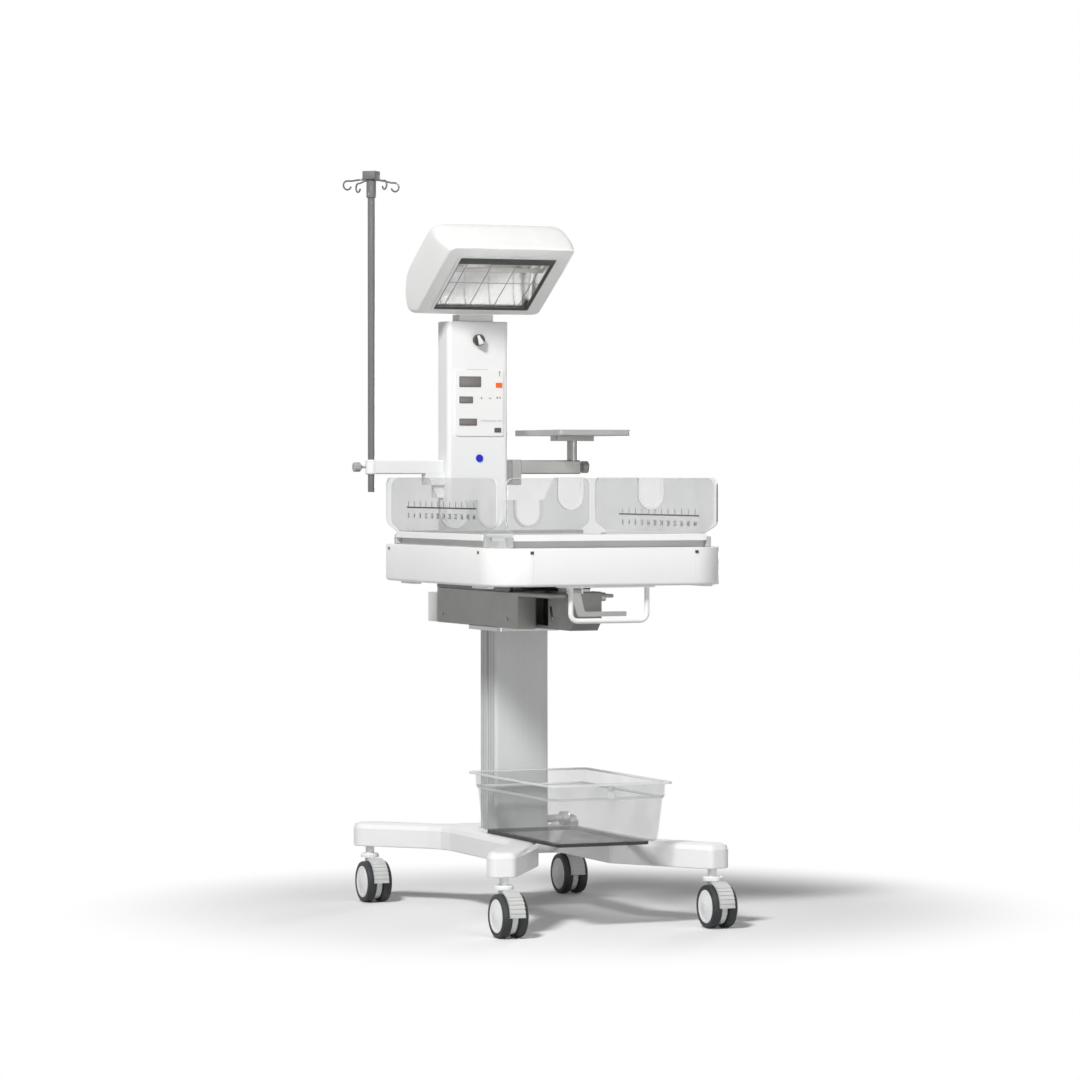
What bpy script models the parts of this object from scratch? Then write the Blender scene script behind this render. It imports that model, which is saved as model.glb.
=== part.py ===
"""Infant radiant warmer: a tilting bed with clear drop panels under a swivelling heater hood.

The bed and the upper column ride on a telescopic lifting column, which stands on a
bow-legged base with four braked castors. Lengths are metres, +Z is up, the foot of the
bed faces -Y and the upper column stands behind its head end.
"""
from math import acos, atan2, cos, pi, radians, sin, tan

import bmesh
import bpy
from mathutils import Matrix, Vector

# Gaps and tools shared by all pieces
seat_gap = 0.0003
cut_overrun = 0.006
weld_distance = 0.00002
flat_angle = radians(0.6)
smooth_angle = radians(35)

# Castors
stem_half_track = 0.281
stem_front_y = -0.430
stem_rear_y = 0.484
wheel_radius = 0.054
wheel_width = 0.024
wheel_inner_x = 0.009
wheel_trail = 0.027
hub_disc_radius = 0.042
hub_groove_depth = 0.0015
tyre_rounding = 0.006
axle_radius = 0.005
axle_clearance = 0.0006
web_thickness = 0.015
web_low_radius = 0.046
collar_radius = 0.024
collar_height = 0.0105
collar_underside = 0.1155
stem_radius = 0.0115
stem_bolt_radius = 0.006
stem_bolt_length = 0.022
bolt_clearance = 0.0004
pedal_width = 0.040
pedal_thickness = 0.004
pedal_lift = 0.0035
pedal_swing_clearance = 0.0008
pedal_rib_height = 0.0016
pedal_rib_count = 6
pedal_top_angle = radians(96)
pedal_toe_angle = pi
neck_share = 0.7

# Base
base_underside = 0.146
base_top = 0.208
base_shoulder = 0.015
base_edge = 0.003
recess_half_width = 0.095
recess_back_y = 0.105
recess_corner = 0.035
crotch_y = -0.215
crotch_radius = 0.040
waist_half_width = 0.146
waist_front_y = -0.150
waist_back_y = 0.300
waist_radius = 0.110
rear_crotch_half_width = 0.110
rear_crotch_y = 0.365
rear_crotch_radius = 0.060
front_toe_corners = ((-0.019, -0.032, 0.020), (0.041, -0.022, 0.026), (0.041, 0.015, 0.030))
rear_toe_corners = ((0.041, -0.004, 0.030), (0.037, 0.036, 0.026), (-0.019, 0.041, 0.024))
column_pocket_floor = 0.178
column_pocket_margin = 0.007
rail_half_span = 0.118
rail_width = 0.012
rail_height = 0.0085
rail_front_y = -0.400
rail_back_y = 0.062

# Lifting column
outer_half_width = 0.0745
outer_front_y = 0.119
outer_back_y = 0.224
outer_top = 0.722
outer_corner = 0.007
groove_width = 0.010
groove_depth = 0.004
inner_half_width = 0.060
inner_half_depth = 0.038
inner_wall = 0.004
slide_clearance = 0.0008
inner_foot = 0.392
head_plate_thickness = 0.0100
head_plate_front_y = 0.072
head_plate_back_y = 0.276
head_plate_corner = 0.012
lift_stroke = 0.250
peg_height = 0.229
peg_radius = 0.0095
peg_length = 0.058
peg_flange_radius = 0.0182
peg_flange_thickness = 0.020

# Support arm between the two columns
arm_half_width = 0.088
arm_front_y = -0.059
arm_back_y = 0.489
arm_top = 0.8165
arm_corner = 0.006
arm_edge = 0.002
prong_front_y = -0.262
prong_thickness = 0.009
beam_height = 0.020
beam_front_y = -0.010
beam_chamfer = 0.006
beam_rail_width = 0.010
beam_bridge_front_y = 0.360
cap_depth = 0.079
cap_underside = 0.757
cap_top = 0.811
cap_rounding = 0.030

# Bed tilt
pivot_y = -0.275
pivot_z = 0.8195
pivot_radius = 0.006
pivot_clearance = 0.0004
pivot_head_radius = 0.011
pivot_head_length = 0.019
bracket_half_width = 0.0375
bracket_wall = 0.004
bracket_front_y = -0.300
bracket_back_y = 0.056
bracket_underside = 0.7353
bracket_top = 0.833
bracket_tail_top = 0.811
bracket_chamfer = 0.025
bracket_opening_front_y = -0.138
bracket_opening_back_y = -0.045
guide_radius = 0.125
guide_rest_angle = radians(-27)
guide_pin_radius = 0.0045
guide_slot_margin = 0.0025
guide_slot_end_angle = radians(2.5)
tilt_range = radians(12)
link_half_thickness = 0.012
link_foot_back_y = -0.130
link_foot_front_y = -0.291
link_foot_height = 0.009
link_eye_radius = 0.0125

# Bed tray and deck
tray_centre_y = -0.063
tray_side_margin = 0.034
tray_end_margin = 0.03025
tray_corner = 0.098
tray_underside = 0.8514
tray_top = 0.9453
tray_wall = 0.004
tray_edge = 0.008
mouth_side_clearance = 0.0115
mouth_end_clearance = 0.014
tray_mouth_corner = 0.05
deck_centre_y = -0.056
ring_half_width = 0.2875
ring_half_length = 0.372
ring_top = 0.962
ring_width = 0.012
ring_corner = 0.034
pan_side_margin = 0.0195
pan_end_margin = 0.031
pan_depth = 0.043
pan_wall = 0.004
pan_corner = 0.036
mattress_side_clearance = 0.0055
mattress_end_clearance = 0.0035
mattress_corner = 0.040
mattress_thickness = 0.056
mattress_crown = 0.010
mattress_draw = 0.007
mattress_side_shares = ((0.0, 1.6), (0.10, 0.3), (0.22, 0.0), (0.50, 0.9), (0.80, 0.0), (0.93, 0.4),
                        (1.0, 1.5))
mattress_crown_shares = ((0.32, 0.10), (0.62, 0.22), (0.84, 0.40), (1.0, 0.66))

# Clear panels, their strips and the tube grommets
panel_thickness = 0.005
panel_offset = 0.0091
panel_top = 1.1165
side_panel_end_margin = 0.0015
end_panel_side_margin = 0.0075
panel_corner = 0.022
side_panel_offset_y = 0.0025
side_chamfer_run = 0.090
end_chamfer_run = 0.030
side_strip_front_margin = 0.083
side_strip_back_margin = 0.0775
front_strip_margin = 0.028
panel_chamfer_rise = 0.027
panel_chamfer_fillet = 0.016
strip_thickness = 0.012
strip_height = 0.016
strip_groove_depth = 0.006
groove_clearance = 0.0003
strip_pivot_height = 0.005
strip_edge = 0.0015
strip_pin_radius = 0.0025
strip_pin_length = 0.010
strip_pin_clearance = 0.0003
ear_length = 0.012
ear_height = 0.010
ear_depth = 0.014
front_notch_half_width = 0.0315
front_notch_depth = 0.076
front_notch_spacing = 0.216
back_notch_half_width = 0.0385
back_notch_depth = 0.072
back_notch_spacing = 0.105
back_notch_count = 3
back_dip_top = 1.057
back_dip_half_width = 0.150
back_dip_run = 0.028
back_dip_fillet = 0.010
grommet_lap = 0.0020
grommet_width = 0.0045
grommet_wall = 0.0015
panel_drop = radians(120)

# Bed handle and tilt lever
handle_setback = 0.03725
handle_half_width = 0.1025
handle_bar_z = 0.7655
handle_radius = 0.0065
handle_bend = 0.018
handle_plate_half_width = 0.122
handle_plate_setback = 0.02525
handle_plate_depth = 0.065
handle_plate_thickness = 0.004
lever_setback = 0.07225
lever_pivot_z = 0.8375
lever_barrel_radius = 0.0055
lever_barrel_x = -0.076
lever_barrel_half_length = 0.014
lever_thickness = 0.006
lever_bar_top = 0.787
lever_bar_height = 0.012
lever_bar_end_x = 0.062
lever_pin_radius = 0.003
lug_thickness = 0.005
lug_depth = 0.013
lever_squeeze = radians(11)

# Upper column, its controls and the hood lock
upper_half_width = 0.0871
upper_front_y = 0.4133
upper_back_y = 0.4913
upper_top = 1.5283
upper_corner = 0.012
upper_edge = 0.003
control_left_x = -0.067
control_right_x = 0.070
control_low_z = 1.226
control_high_z = 1.3995
control_thickness = 0.0030
control_corner = 0.006
window_depth = 0.0008
window_left_x = -0.0565
window_places = ((1.3550, 0.062, 0.028), (1.3120, 0.0388, 0.018), (1.2530, 0.0502, 0.0186))
orange_key_place = (0.0570, 1.3605)
orange_key_size = (0.0173, 0.0118)
dark_key_place = (0.0537, 1.2415)
dark_key_size = (0.0180, 0.0116)
blue_key_place = (0.0026, 1.1668)
blue_key_radius = 0.0100
key_clearance = 0.0004
key_proud = 0.0022
key_depth = 0.0045
key_travel = 0.0012
lock_knob_x = -0.002
lock_knob_z = 1.479
lock_knob_radius = 0.0165
lock_knob_length = 0.022
lock_shaft_radius = 0.005
lock_shaft_length = 0.0182
knob_edge = 0.0015
shaft_clearance = 0.0004
neck_half_width = 0.0505
neck_half_depth = 0.024
neck_top = 1.5470
neck_edge = 0.002
spigot_radius = 0.020
spigot_length = 0.078

# Heater hood
hood_rear_edge_y = 0.421
hood_underside = 1.5473
hood_face_angle = radians(32.5)
hood_face_length = 0.298
hood_half_width = 0.191
hood_depth = 0.1310
hood_rest_depth = 0.050
hood_corner = 0.036
hood_section_shares = (
    (0.000, 0.000, 1.000, 0.916, 0.45), (0.204, -0.141, 0.968, 0.965, 0.65),
    (0.413, -0.107, 0.930, 0.992, 0.85), (0.575, -0.079, 0.900, 1.000, 1.00),
    (0.791, -0.010, 0.855, 0.985, 1.00), (0.914, 0.035, 0.800, 0.945, 1.00),
    (0.970, 0.110, 0.720, 0.900, 1.00), (1.000, 0.200, 0.480, 0.820, 0.90))
window_half_width = 0.1345
window_low_along = 0.024
window_high_along = 0.257
hood_lip = 0.0045
cavity_half_width = 0.166
cavity_low_along = 0.014
cavity_high_along = 0.284
cavity_depth = 0.112
cavity_taper = 0.014
cavity_front_taper = 0.056
gasket_width = 0.0075
gasket_thickness = 0.003
gasket_corner = 0.004
grille_wire_radius = 0.0012
grille_height = 0.0031
grille_drop = 0.0009
grille_wire_xs = (-0.105, -0.035, 0.035, 0.105)
reflector_half_width = 0.150
reflector_low_along = 0.018
reflector_high_along = 0.280
reflector_depth = 0.062
reflector_wall = 0.0016
reflector_steps = 12
tube_radius = 0.006
tube_height = 0.034
tube_overhang = 0.006
swivel_left = radians(40)
swivel_right = radians(90)

# Pole arm and drip pole
side_arm_half_depth = 0.0165
side_arm_low_z = 1.125
side_arm_height = 0.037
side_arm_edge = 0.003
side_arm_step = 0.001
pole_x = -0.288
pole_radius = 0.0095
pole_foot_drop = 0.047
pole_length = 0.819
pole_travel_down = 0.420
clamp_block_left_x = -0.1404
clamp_block_drop = 0.029
clamp_jaw_left_x = -0.115
clamp_jaw_drop = 0.034
clamp_half_depth = 0.015
head_radius = 0.0262
head_height = 0.022
sleeve_radius = 0.013
sleeve_height = 0.037
hook_reach = 0.083
hook_drop = 0.016
hook_curl_radius = 0.0115
hook_wire_radius = 0.0026
hook_rise = 0.008
side_knob_radius = 0.0105
side_knob_length = 0.0300
side_knob_neck_length = 0.004
side_knob_shaft_radius = 0.003

# Shelf and its arm
shelf_arm_end_x = 0.3068
shelf_block_left_x = 0.106
shelf_block_right_x = 0.132
shelf_post_x = 0.288
shelf_post_radius = 0.0145
shelf_post_foot_rise = 0.010
shelf_plate_half_length = 0.0555
shelf_plate_half_depth = 0.024
shelf_post_rise = 0.0513
shelf_plate_height = 0.0134
shelf_height = 0.0158
shelf_half_width = 0.107
shelf_half_depth = 0.150
shelf_corner = 0.012
shelf_lip = 0.004
shelf_floor = 0.004
plate_slot_width = 0.006
plate_slot_length = 0.013
shelf_knob_radius = 0.0165
shelf_knob_length = 0.0195
shelf_knob_neck = 0.0067

# Storage bin
bin_centre_y = -0.182
bin_rim_half_width = 0.168
bin_rim_half_length = 0.2705
bin_rim_top = 0.366
bin_rim_thickness = 0.004
bin_rim_width = 0.0125
bin_shoulder_z = 0.331
bin_shoulder_step = 0.0035
bin_floor_half_width = 0.141
bin_floor_half_length = 0.243
bin_wall = 0.0025
bin_corner = 0.020
bin_floor_edge = 0.008
bin_slide_range = 0.300

# How finely round shapes are divided
turn_steps = 20
corner_steps = 4
arc_step = radians(18)

# Sizes that follow from the ones above
base_centre_y = (stem_front_y + stem_rear_y) / 2
outer_centre_y = (outer_front_y + outer_back_y) / 2
upper_centre_y = (upper_front_y + upper_back_y) / 2
arm_underside = outer_top + seat_gap + head_plate_thickness + seat_gap
beam_underside = arm_top + prong_thickness + seat_gap
beam_top = beam_underside + beam_height
pan_floor_z = tray_top + seat_gap - pan_depth + pan_wall
pan_half_width = ring_half_width - pan_side_margin
pan_half_length = ring_half_length - pan_end_margin
mattress_half_width = pan_half_width - pan_wall - mattress_side_clearance
mattress_half_length = pan_half_length - pan_wall - mattress_end_clearance
tray_half_width = ring_half_width + tray_side_margin
tray_half_length = ring_half_length + tray_end_margin
tray_mouth_half_width = pan_half_width + mouth_side_clearance
tray_mouth_half_length = pan_half_length + mouth_end_clearance
tray_front_y = tray_centre_y - tray_half_length
side_panel_half_length = ring_half_length - side_panel_end_margin
side_panel_centre_y = deck_centre_y + side_panel_offset_y
end_panel_half_width = ring_half_width - end_panel_side_margin
side_strip_front_y = deck_centre_y - ring_half_length + side_strip_front_margin
side_strip_back_y = deck_centre_y + ring_half_length - side_strip_back_margin
front_strip_half_length = ring_half_width - front_strip_margin
handle_y = tray_front_y + handle_setback
handle_plate_front_y = tray_front_y + handle_plate_setback
handle_plate_back_y = handle_plate_front_y + handle_plate_depth
lever_y = tray_front_y + lever_setback
strip_low_z = ring_top
strip_pivot_z = strip_low_z + strip_pivot_height
panel_low_z = strip_low_z + strip_height - strip_groove_depth + groove_clearance
side_panel_x = ring_half_width + panel_offset
front_panel_y = deck_centre_y - ring_half_length - panel_offset
back_panel_y = deck_centre_y + ring_half_length + panel_offset
link_top = tray_underside - seat_gap
handle_plate_low_z = link_top - handle_plate_thickness
wheel_outer_x = wheel_inner_x + wheel_width
groove_half = panel_thickness / 2 + groove_clearance
pedal_inner_radius = wheel_radius + pedal_lift
pedal_outer_radius = pedal_inner_radius + pedal_thickness
side_arm_high_z = side_arm_low_z + side_arm_height
side_arm_centre_z = (side_arm_low_z + side_arm_high_z) / 2
clamp_block_low_z = side_arm_low_z - clamp_block_drop
clamp_jaw_low_z = clamp_block_low_z - clamp_jaw_drop
pole_foot = side_arm_low_z - pole_foot_drop
pole_top = pole_foot + pole_length
shelf_post_foot = side_arm_low_z + shelf_post_foot_rise
shelf_plate_low_z = side_arm_high_z + shelf_post_rise
shelf_underside = shelf_plate_low_z + shelf_plate_height

finish_table = {
    "white": ((0.86, 0.87, 0.86), 0.35), "housing": ((0.30, 0.30, 0.29), 0.45),
    "column": ((0.42, 0.43, 0.44), 0.35, 0.6), "grey": ((0.42, 0.42, 0.41), 0.45),
    "dark": ((0.05, 0.05, 0.055), 0.5), "rubber": ((0.03, 0.03, 0.03), 0.8),
    "tyre": ((0.06, 0.065, 0.07), 0.7), "tray": ((0.78, 0.79, 0.79), 0.4),
    "steel": ((0.60, 0.61, 0.62), 0.3, 0.9), "chrome": ((0.80, 0.80, 0.80), 0.1, 1.0),
    "pad": ((0.82, 0.83, 0.84), 0.8), "clear": ((0.85, 0.90, 0.92), 0.05, 0.0, 0.25),
    "overlay": ((0.66, 0.67, 0.66), 0.4), "orange": ((1.0, 0.20, 0.03), 0.4),
    "blue": ((0.02, 0.03, 0.60), 0.35), "quartz": ((0.85, 0.80, 0.72), 0.2),
}

parts = bpy.data.collections.new("infant_radiant_warmer")
cutters = bpy.data.collections.new("cutters")


# Scene set up
def clear_scene():
    for item in list(bpy.data.objects):
        bpy.data.objects.remove(item, do_unlink=True)
    bpy.context.scene.collection.children.link(parts)
    bpy.context.scene.collection.children.link(cutters)


def make_material(name, colour, roughness, metallic=0.0, alpha=1.0):
    finish = bpy.data.materials.new(name)
    finish.use_nodes = True
    shader = finish.node_tree.nodes["Principled BSDF"]
    shader.inputs["Base Color"].default_value = (*colour, 1.0)
    shader.inputs["Roughness"].default_value = roughness
    shader.inputs["Metallic"].default_value = metallic
    shader.inputs["Alpha"].default_value = alpha
    return finish


def make_empty(name, place, parent=None, turn=None):
    """An empty on a joint's axis, kept at its world place under its parent."""
    empty = bpy.data.objects.new(name, None)
    parts.objects.link(empty)
    empty.matrix_world = Matrix.Translation(place) @ (turn or Matrix.Identity(4))
    hang(empty, parent)
    return empty


def hang(item, parent):
    if parent is None:
        return
    bpy.context.view_layer.update()
    world = item.matrix_world.copy()
    item.parent = parent
    item.matrix_parent_inverse = parent.matrix_world.inverted()
    item.matrix_world = world


# Outlines
def fillet(corners):
    """Points of a closed outline from (x, y, radius) corners, each radius as an arc."""
    points = []
    count = len(corners)
    for index, (x, y, radius) in enumerate(corners):
        here = Vector((x, y))
        before = Vector(corners[index - 1][:2]) - here
        after = Vector(corners[(index + 1) % count][:2]) - here
        if radius <= 0:
            points.append((x, y))
            continue
        half = before.angle(after) / 2
        reach = radius / tan(half)
        start = here + before.normalized() * reach
        middle = here + (before.normalized() + after.normalized()).normalized() * (radius / sin(half))
        first = atan2(start.y - middle.y, start.x - middle.x)
        sweep = pi - 2 * half
        if before.x * after.y - before.y * after.x > 0:
            sweep = -sweep
        steps = max(1, round(abs(sweep) / arc_step))
        for step in range(steps + 1):
            angle = first + sweep * step / steps
            points.append((middle.x + radius * cos(angle), middle.y + radius * sin(angle)))
    return points


def rectangle(half_x, half_y, radius, centre=(0.0, 0.0)):
    x, y = centre
    return fillet([(x - half_x, y - half_y, radius), (x + half_x, y - half_y, radius),
                   (x + half_x, y + half_y, radius), (x - half_x, y + half_y, radius)])


def circle(radius, centre=(0.0, 0.0), steps=16):
    x, y = centre
    return [(x + radius * cos(2 * pi * step / steps), y + radius * sin(2 * pi * step / steps))
            for step in range(steps)]


def arc(radius, first, last, centre=(0.0, 0.0)):
    steps = max(2, round(abs(last - first) / arc_step))
    x, y = centre
    return [(x + radius * cos(first + (last - first) * step / steps),
             y + radius * sin(first + (last - first) * step / steps)) for step in range(steps + 1)]


def mirrored(points):
    """A closed outline from its right half, listed from the front seam to the back seam."""
    return points + [(-x, y) for x, y in reversed(points) if x > weld_distance]


# Planes that outlines are drawn on
plane_turns = {
    "XY": Matrix.Identity(4),
    "XZ": Matrix(((1, 0, 0, 0), (0, 0, -1, 0), (0, 1, 0, 0), (0, 0, 0, 1))),
    "YZ": Matrix(((0, 0, 1, 0), (1, 0, 0, 0), (0, 1, 0, 0), (0, 0, 0, 1))),
}
axis_turns = {
    "Z": Matrix.Identity(4),
    "X": Matrix.Rotation(pi / 2, 4, "Y"),
    "-X": Matrix.Rotation(-pi / 2, 4, "Y"),
    "-Y": Matrix.Rotation(pi / 2, 4, "X"),
}


# Building blocks
def place_mesh(name, mesh, place, turn):
    item = bpy.data.objects.new(name, mesh)
    parts.objects.link(item)
    item.matrix_world = Matrix.Translation(place) @ turn
    return item


def plate(name, loops, thickness, place, plane="XY", turn=None):
    """A flat piece whose first loop is its outline and whose other loops are holes.

    The place is the middle of its thickness.
    """
    curve = bpy.data.curves.new(name, "CURVE")
    curve.dimensions = "2D"
    curve.fill_mode = "BOTH"
    curve.extrude = thickness / 2
    for loop in loops:
        spline = curve.splines.new("POLY")
        spline.points.add(len(loop) - 1)
        for point, (x, y) in zip(spline.points, loop):
            point.co = (x, y, 0.0, 1.0)
        spline.use_cyclic_u = True
    item = bpy.data.objects.new(name, curve)
    parts.objects.link(item)
    item.matrix_world = Matrix.Translation(place) @ (turn or plane_turns[plane])
    return as_mesh(item)


def as_mesh(item):
    """The mesh of a curve object, welded and with its flat caps whole again."""
    bpy.context.view_layer.update()
    seen = item.evaluated_get(bpy.context.evaluated_depsgraph_get())
    mesh = bpy.data.meshes.new_from_object(seen)
    work = bmesh.new()
    work.from_mesh(mesh)
    bmesh.ops.remove_doubles(work, verts=work.verts, dist=weld_distance)
    bmesh.ops.dissolve_limit(work, angle_limit=flat_angle, verts=[], edges=work.edges)
    bmesh.ops.recalc_face_normals(work, faces=work.faces)
    work.to_mesh(mesh)
    work.free()
    name = item.name
    world = item.matrix_world.copy()
    bpy.data.objects.remove(item, do_unlink=True)
    made = bpy.data.objects.new(name, mesh)
    parts.objects.link(made)
    made.matrix_world = world
    return made


def box(name, low, high, bevel=0.0, segments=1):
    """A box between two corners, with its scale in its mesh and its edges bevelled."""
    low = Vector(low)
    high = Vector(high)
    size = high - low
    work = bmesh.new()
    bmesh.ops.create_cube(work, size=1.0, matrix=Matrix.Diagonal((*size, 1.0)))
    mesh = bpy.data.meshes.new(name)
    work.to_mesh(mesh)
    work.free()
    item = place_mesh(name, mesh, (low + high) / 2, Matrix.Identity(4))
    if bevel > 0:
        soften(item, bevel, segments)
    return item


def soften(item, width, segments=1):
    edge = item.modifiers.new("edge", "BEVEL")
    edge.width = width
    edge.segments = segments
    edge.limit_method = "ANGLE"
    edge.angle_limit = smooth_angle
    return edge


def rod(name, radius, length, place, axis="Z", steps=None):
    """A round bar that starts at its place and runs along its axis."""
    work = bmesh.new()
    bmesh.ops.create_cone(work, cap_ends=True, segments=steps or turn_steps, radius1=radius,
                          radius2=radius, depth=length,
                          matrix=Matrix.Translation((0.0, 0.0, length / 2)))
    mesh = bpy.data.meshes.new(name)
    work.to_mesh(mesh)
    work.free()
    return place_mesh(name, mesh, place, axis_turns[axis])


def turned(name, profile, place, axis="Z", steps=None):
    """A turned piece from (radius, height) points, listed from its top down its outside."""
    mesh = bpy.data.meshes.new(name)
    points = [(radius, 0.0, height) for radius, height in profile]
    mesh.from_pydata(points, [(index, index + 1) for index in range(len(points) - 1)], [])
    item = place_mesh(name, mesh, place, axis_turns[axis])
    screw = item.modifiers.new("turn", "SCREW")
    screw.angle = 2 * pi
    screw.steps = steps or turn_steps
    screw.render_steps = steps or turn_steps
    screw.use_merge_vertices = True
    screw.merge_threshold = weld_distance
    screw.use_smooth_shade = False
    return item


def tube(name, points, radius, place=(0.0, 0.0, 0.0), turn=None, resolution=1):
    """A round wire or tube along its points."""
    curve = bpy.data.curves.new(name, "CURVE")
    curve.dimensions = "3D"
    curve.bevel_depth = radius
    curve.bevel_resolution = resolution
    curve.use_fill_caps = True
    spline = curve.splines.new("POLY")
    spline.points.add(len(points) - 1)
    for point, spot in zip(spline.points, points):
        point.co = (*spot, 1.0)
    item = bpy.data.objects.new(name, curve)
    parts.objects.link(item)
    item.matrix_world = Matrix.Translation(place) @ (turn or Matrix.Identity(4))
    return item


def loft(name, sections, centre, turn=None, steps=None):
    """A closed body through rounded rectangles, in order.

    Each section is (height, half_x, half_y, corner, centre_y).
    """
    steps = steps or corner_steps
    work = bmesh.new()
    rings = []
    for height, half_x, half_y, corner, centre_y in sections:
        ring = []
        for sign_x, sign_y, first in ((1, 1, 0.0), (-1, 1, pi / 2), (-1, -1, pi), (1, -1, 3 * pi / 2)):
            for step in range(steps + 1):
                angle = first + pi / 2 * step / steps
                x = sign_x * (half_x - corner) + corner * cos(angle)
                y = centre_y + sign_y * (half_y - corner) + corner * sin(angle)
                ring.append(work.verts.new((x, y, height)))
        rings.append(ring)
    for lower, upper in zip(rings, rings[1:]):
        for index in range(len(lower)):
            after = (index + 1) % len(lower)
            work.faces.new((lower[index], lower[after], upper[after], upper[index]))
    work.faces.new(list(reversed(rings[0])))
    work.faces.new(rings[-1])
    bmesh.ops.recalc_face_normals(work, faces=work.faces)
    mesh = bpy.data.meshes.new(name)
    work.to_mesh(mesh)
    work.free()
    return place_mesh(name, mesh, centre, turn or Matrix.Identity(4))


def boolean(item, tool, operation):
    cut = item.modifiers.new(operation.lower(), "BOOLEAN")
    cut.operation = operation
    cut.solver = "EXACT"
    cut.object = tool
    tool.hide_render = True
    tool.display_type = "WIRE"
    for collection in list(tool.users_collection):
        collection.objects.unlink(tool)
    cutters.objects.link(tool)
    bpy.context.view_layer.update()
    hang(tool, item)


def cut_away(item, *tools):
    for tool in tools:
        boolean(item, tool, "DIFFERENCE")
    return item


def add_on(item, *tools):
    for tool in tools:
        boolean(item, tool, "UNION")
    return item


def complete(item, finish, parent, smooth=False):
    """Give a finished piece its material and its place in the tree."""
    item.data.materials.clear()
    item.data.materials.append(finish)
    if smooth and item.type == "MESH":
        item.data.shade_smooth()
        item.data.set_sharp_from_angle(angle=smooth_angle)
    hang(item, parent)
    return item


def crown_edges(item, top_width, bottom_width):
    """Round the rim of a slab's top face, and its lower rim less."""
    weights = item.data.attributes.new("bevel_weight_edge", "FLOAT", "EDGE")
    for edge in item.data.edges:
        first, second = (item.data.vertices[index].co.z for index in edge.vertices)
        if abs(first - second) < weld_distance:
            weights.data[edge.index].value = 1.0 if first > 0 else bottom_width / top_width
    rim = item.modifiers.new("rim", "BEVEL")
    rim.limit_method = "WEIGHT"
    rim.width = top_width
    rim.segments = 2


# Castors
def castor_wheels(name, centre, finish, parent):
    """Both wheels of a twin castor on their axle, as one turned piece."""
    rim = wheel_radius
    shoulder = wheel_radius - tyre_rounding
    side = [(0.0, wheel_outer_x),
            (hub_disc_radius - hub_groove_depth, wheel_outer_x),
            (hub_disc_radius, wheel_outer_x - hub_groove_depth),
            (hub_disc_radius + hub_groove_depth, wheel_outer_x),
            (shoulder, wheel_outer_x),
            (rim, wheel_outer_x - tyre_rounding),
            (rim, wheel_inner_x + tyre_rounding),
            (shoulder, wheel_inner_x),
            (axle_radius, wheel_inner_x)]
    profile = side + [(radius, -x) for radius, x in reversed(side)]
    item = turned(name, profile, centre, "X")
    return complete(item, finish, parent, smooth=True)


def castor_housing(name, stem, wheel, finish, parent):
    """The fork web between the wheels, with its collar, stem and mounting bolt."""
    rim = pedal_inner_radius - pedal_swing_clearance
    neck_half = collar_radius * neck_share
    neck_top = collar_underside + collar_height / 2 - wheel.z
    front = wheel_trail - neck_half
    back = wheel_trail + neck_half
    outline = arc(rim, acos(front / rim), pi)
    outline += arc(web_low_radius, pi, 2 * pi + acos(back / web_low_radius))
    outline += [(back, neck_top), (front, neck_top)]
    bore = circle(axle_radius + axle_clearance, steps=12)
    item = plate(name, [outline, bore], web_thickness, wheel, "YZ")
    bolt_top = base_underside + stem_bolt_length
    stem_top = base_underside - seat_gap
    collar_top = collar_underside + collar_height
    profile = [(0.0, bolt_top), (stem_bolt_radius, bolt_top), (stem_bolt_radius, stem_top),
               (stem_radius, stem_top), (stem_radius, collar_top),
               (collar_radius - tyre_rounding / 2, collar_top),
               (collar_radius, collar_top - tyre_rounding / 2),
               (collar_radius, collar_underside), (0.0, collar_underside)]
    add_on(item, turned(name + "_stem", profile, (stem.x, stem.y, 0.0)))
    return complete(item, finish, parent, smooth=True)


def castor_pedal(name, wheel, finish, parent):
    """The brake pedal, a shoe round the fork's rim with ribs under the toes."""
    span = pedal_toe_angle - pedal_top_angle
    outline = arc(pedal_outer_radius, pedal_top_angle, pedal_top_angle + span / 3)
    pitch = span * 2 / 3 / (2 * pedal_rib_count - 1)
    for index in range(2 * pedal_rib_count - 1):
        reach = pedal_outer_radius + pedal_rib_height * (1 - index % 2)
        for edge in (0, 1):
            angle = pedal_toe_angle - pitch * (2 * pedal_rib_count - 1 - index - edge)
            outline.append((reach * cos(angle), reach * sin(angle)))
    outline += arc(pedal_inner_radius, pedal_toe_angle, pedal_top_angle)
    item = plate(name, [outline], pedal_width, wheel, "YZ")
    return complete(item, finish, parent, smooth=True)


def build_castor(corner, side, stem_y, finishes, root):
    stem = Vector((side * stem_half_track, stem_y, base_underside))
    wheel = Vector((stem.x, stem_y - wheel_trail, wheel_radius))
    swivel = make_empty("swivel_axis_" + corner, stem, root)
    housing = castor_housing("castor_housing_" + corner, stem, wheel, finishes["white"], swivel)
    axle = make_empty("wheel_axis_" + corner, wheel, swivel)
    castor_wheels("castor_wheels_" + corner, wheel, finishes["tyre"], axle)
    hinge = make_empty("pedal_axis_" + corner, wheel, swivel)
    castor_pedal("castor_pedal_" + corner, wheel, finishes["grey"], hinge)
    return housing


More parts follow.
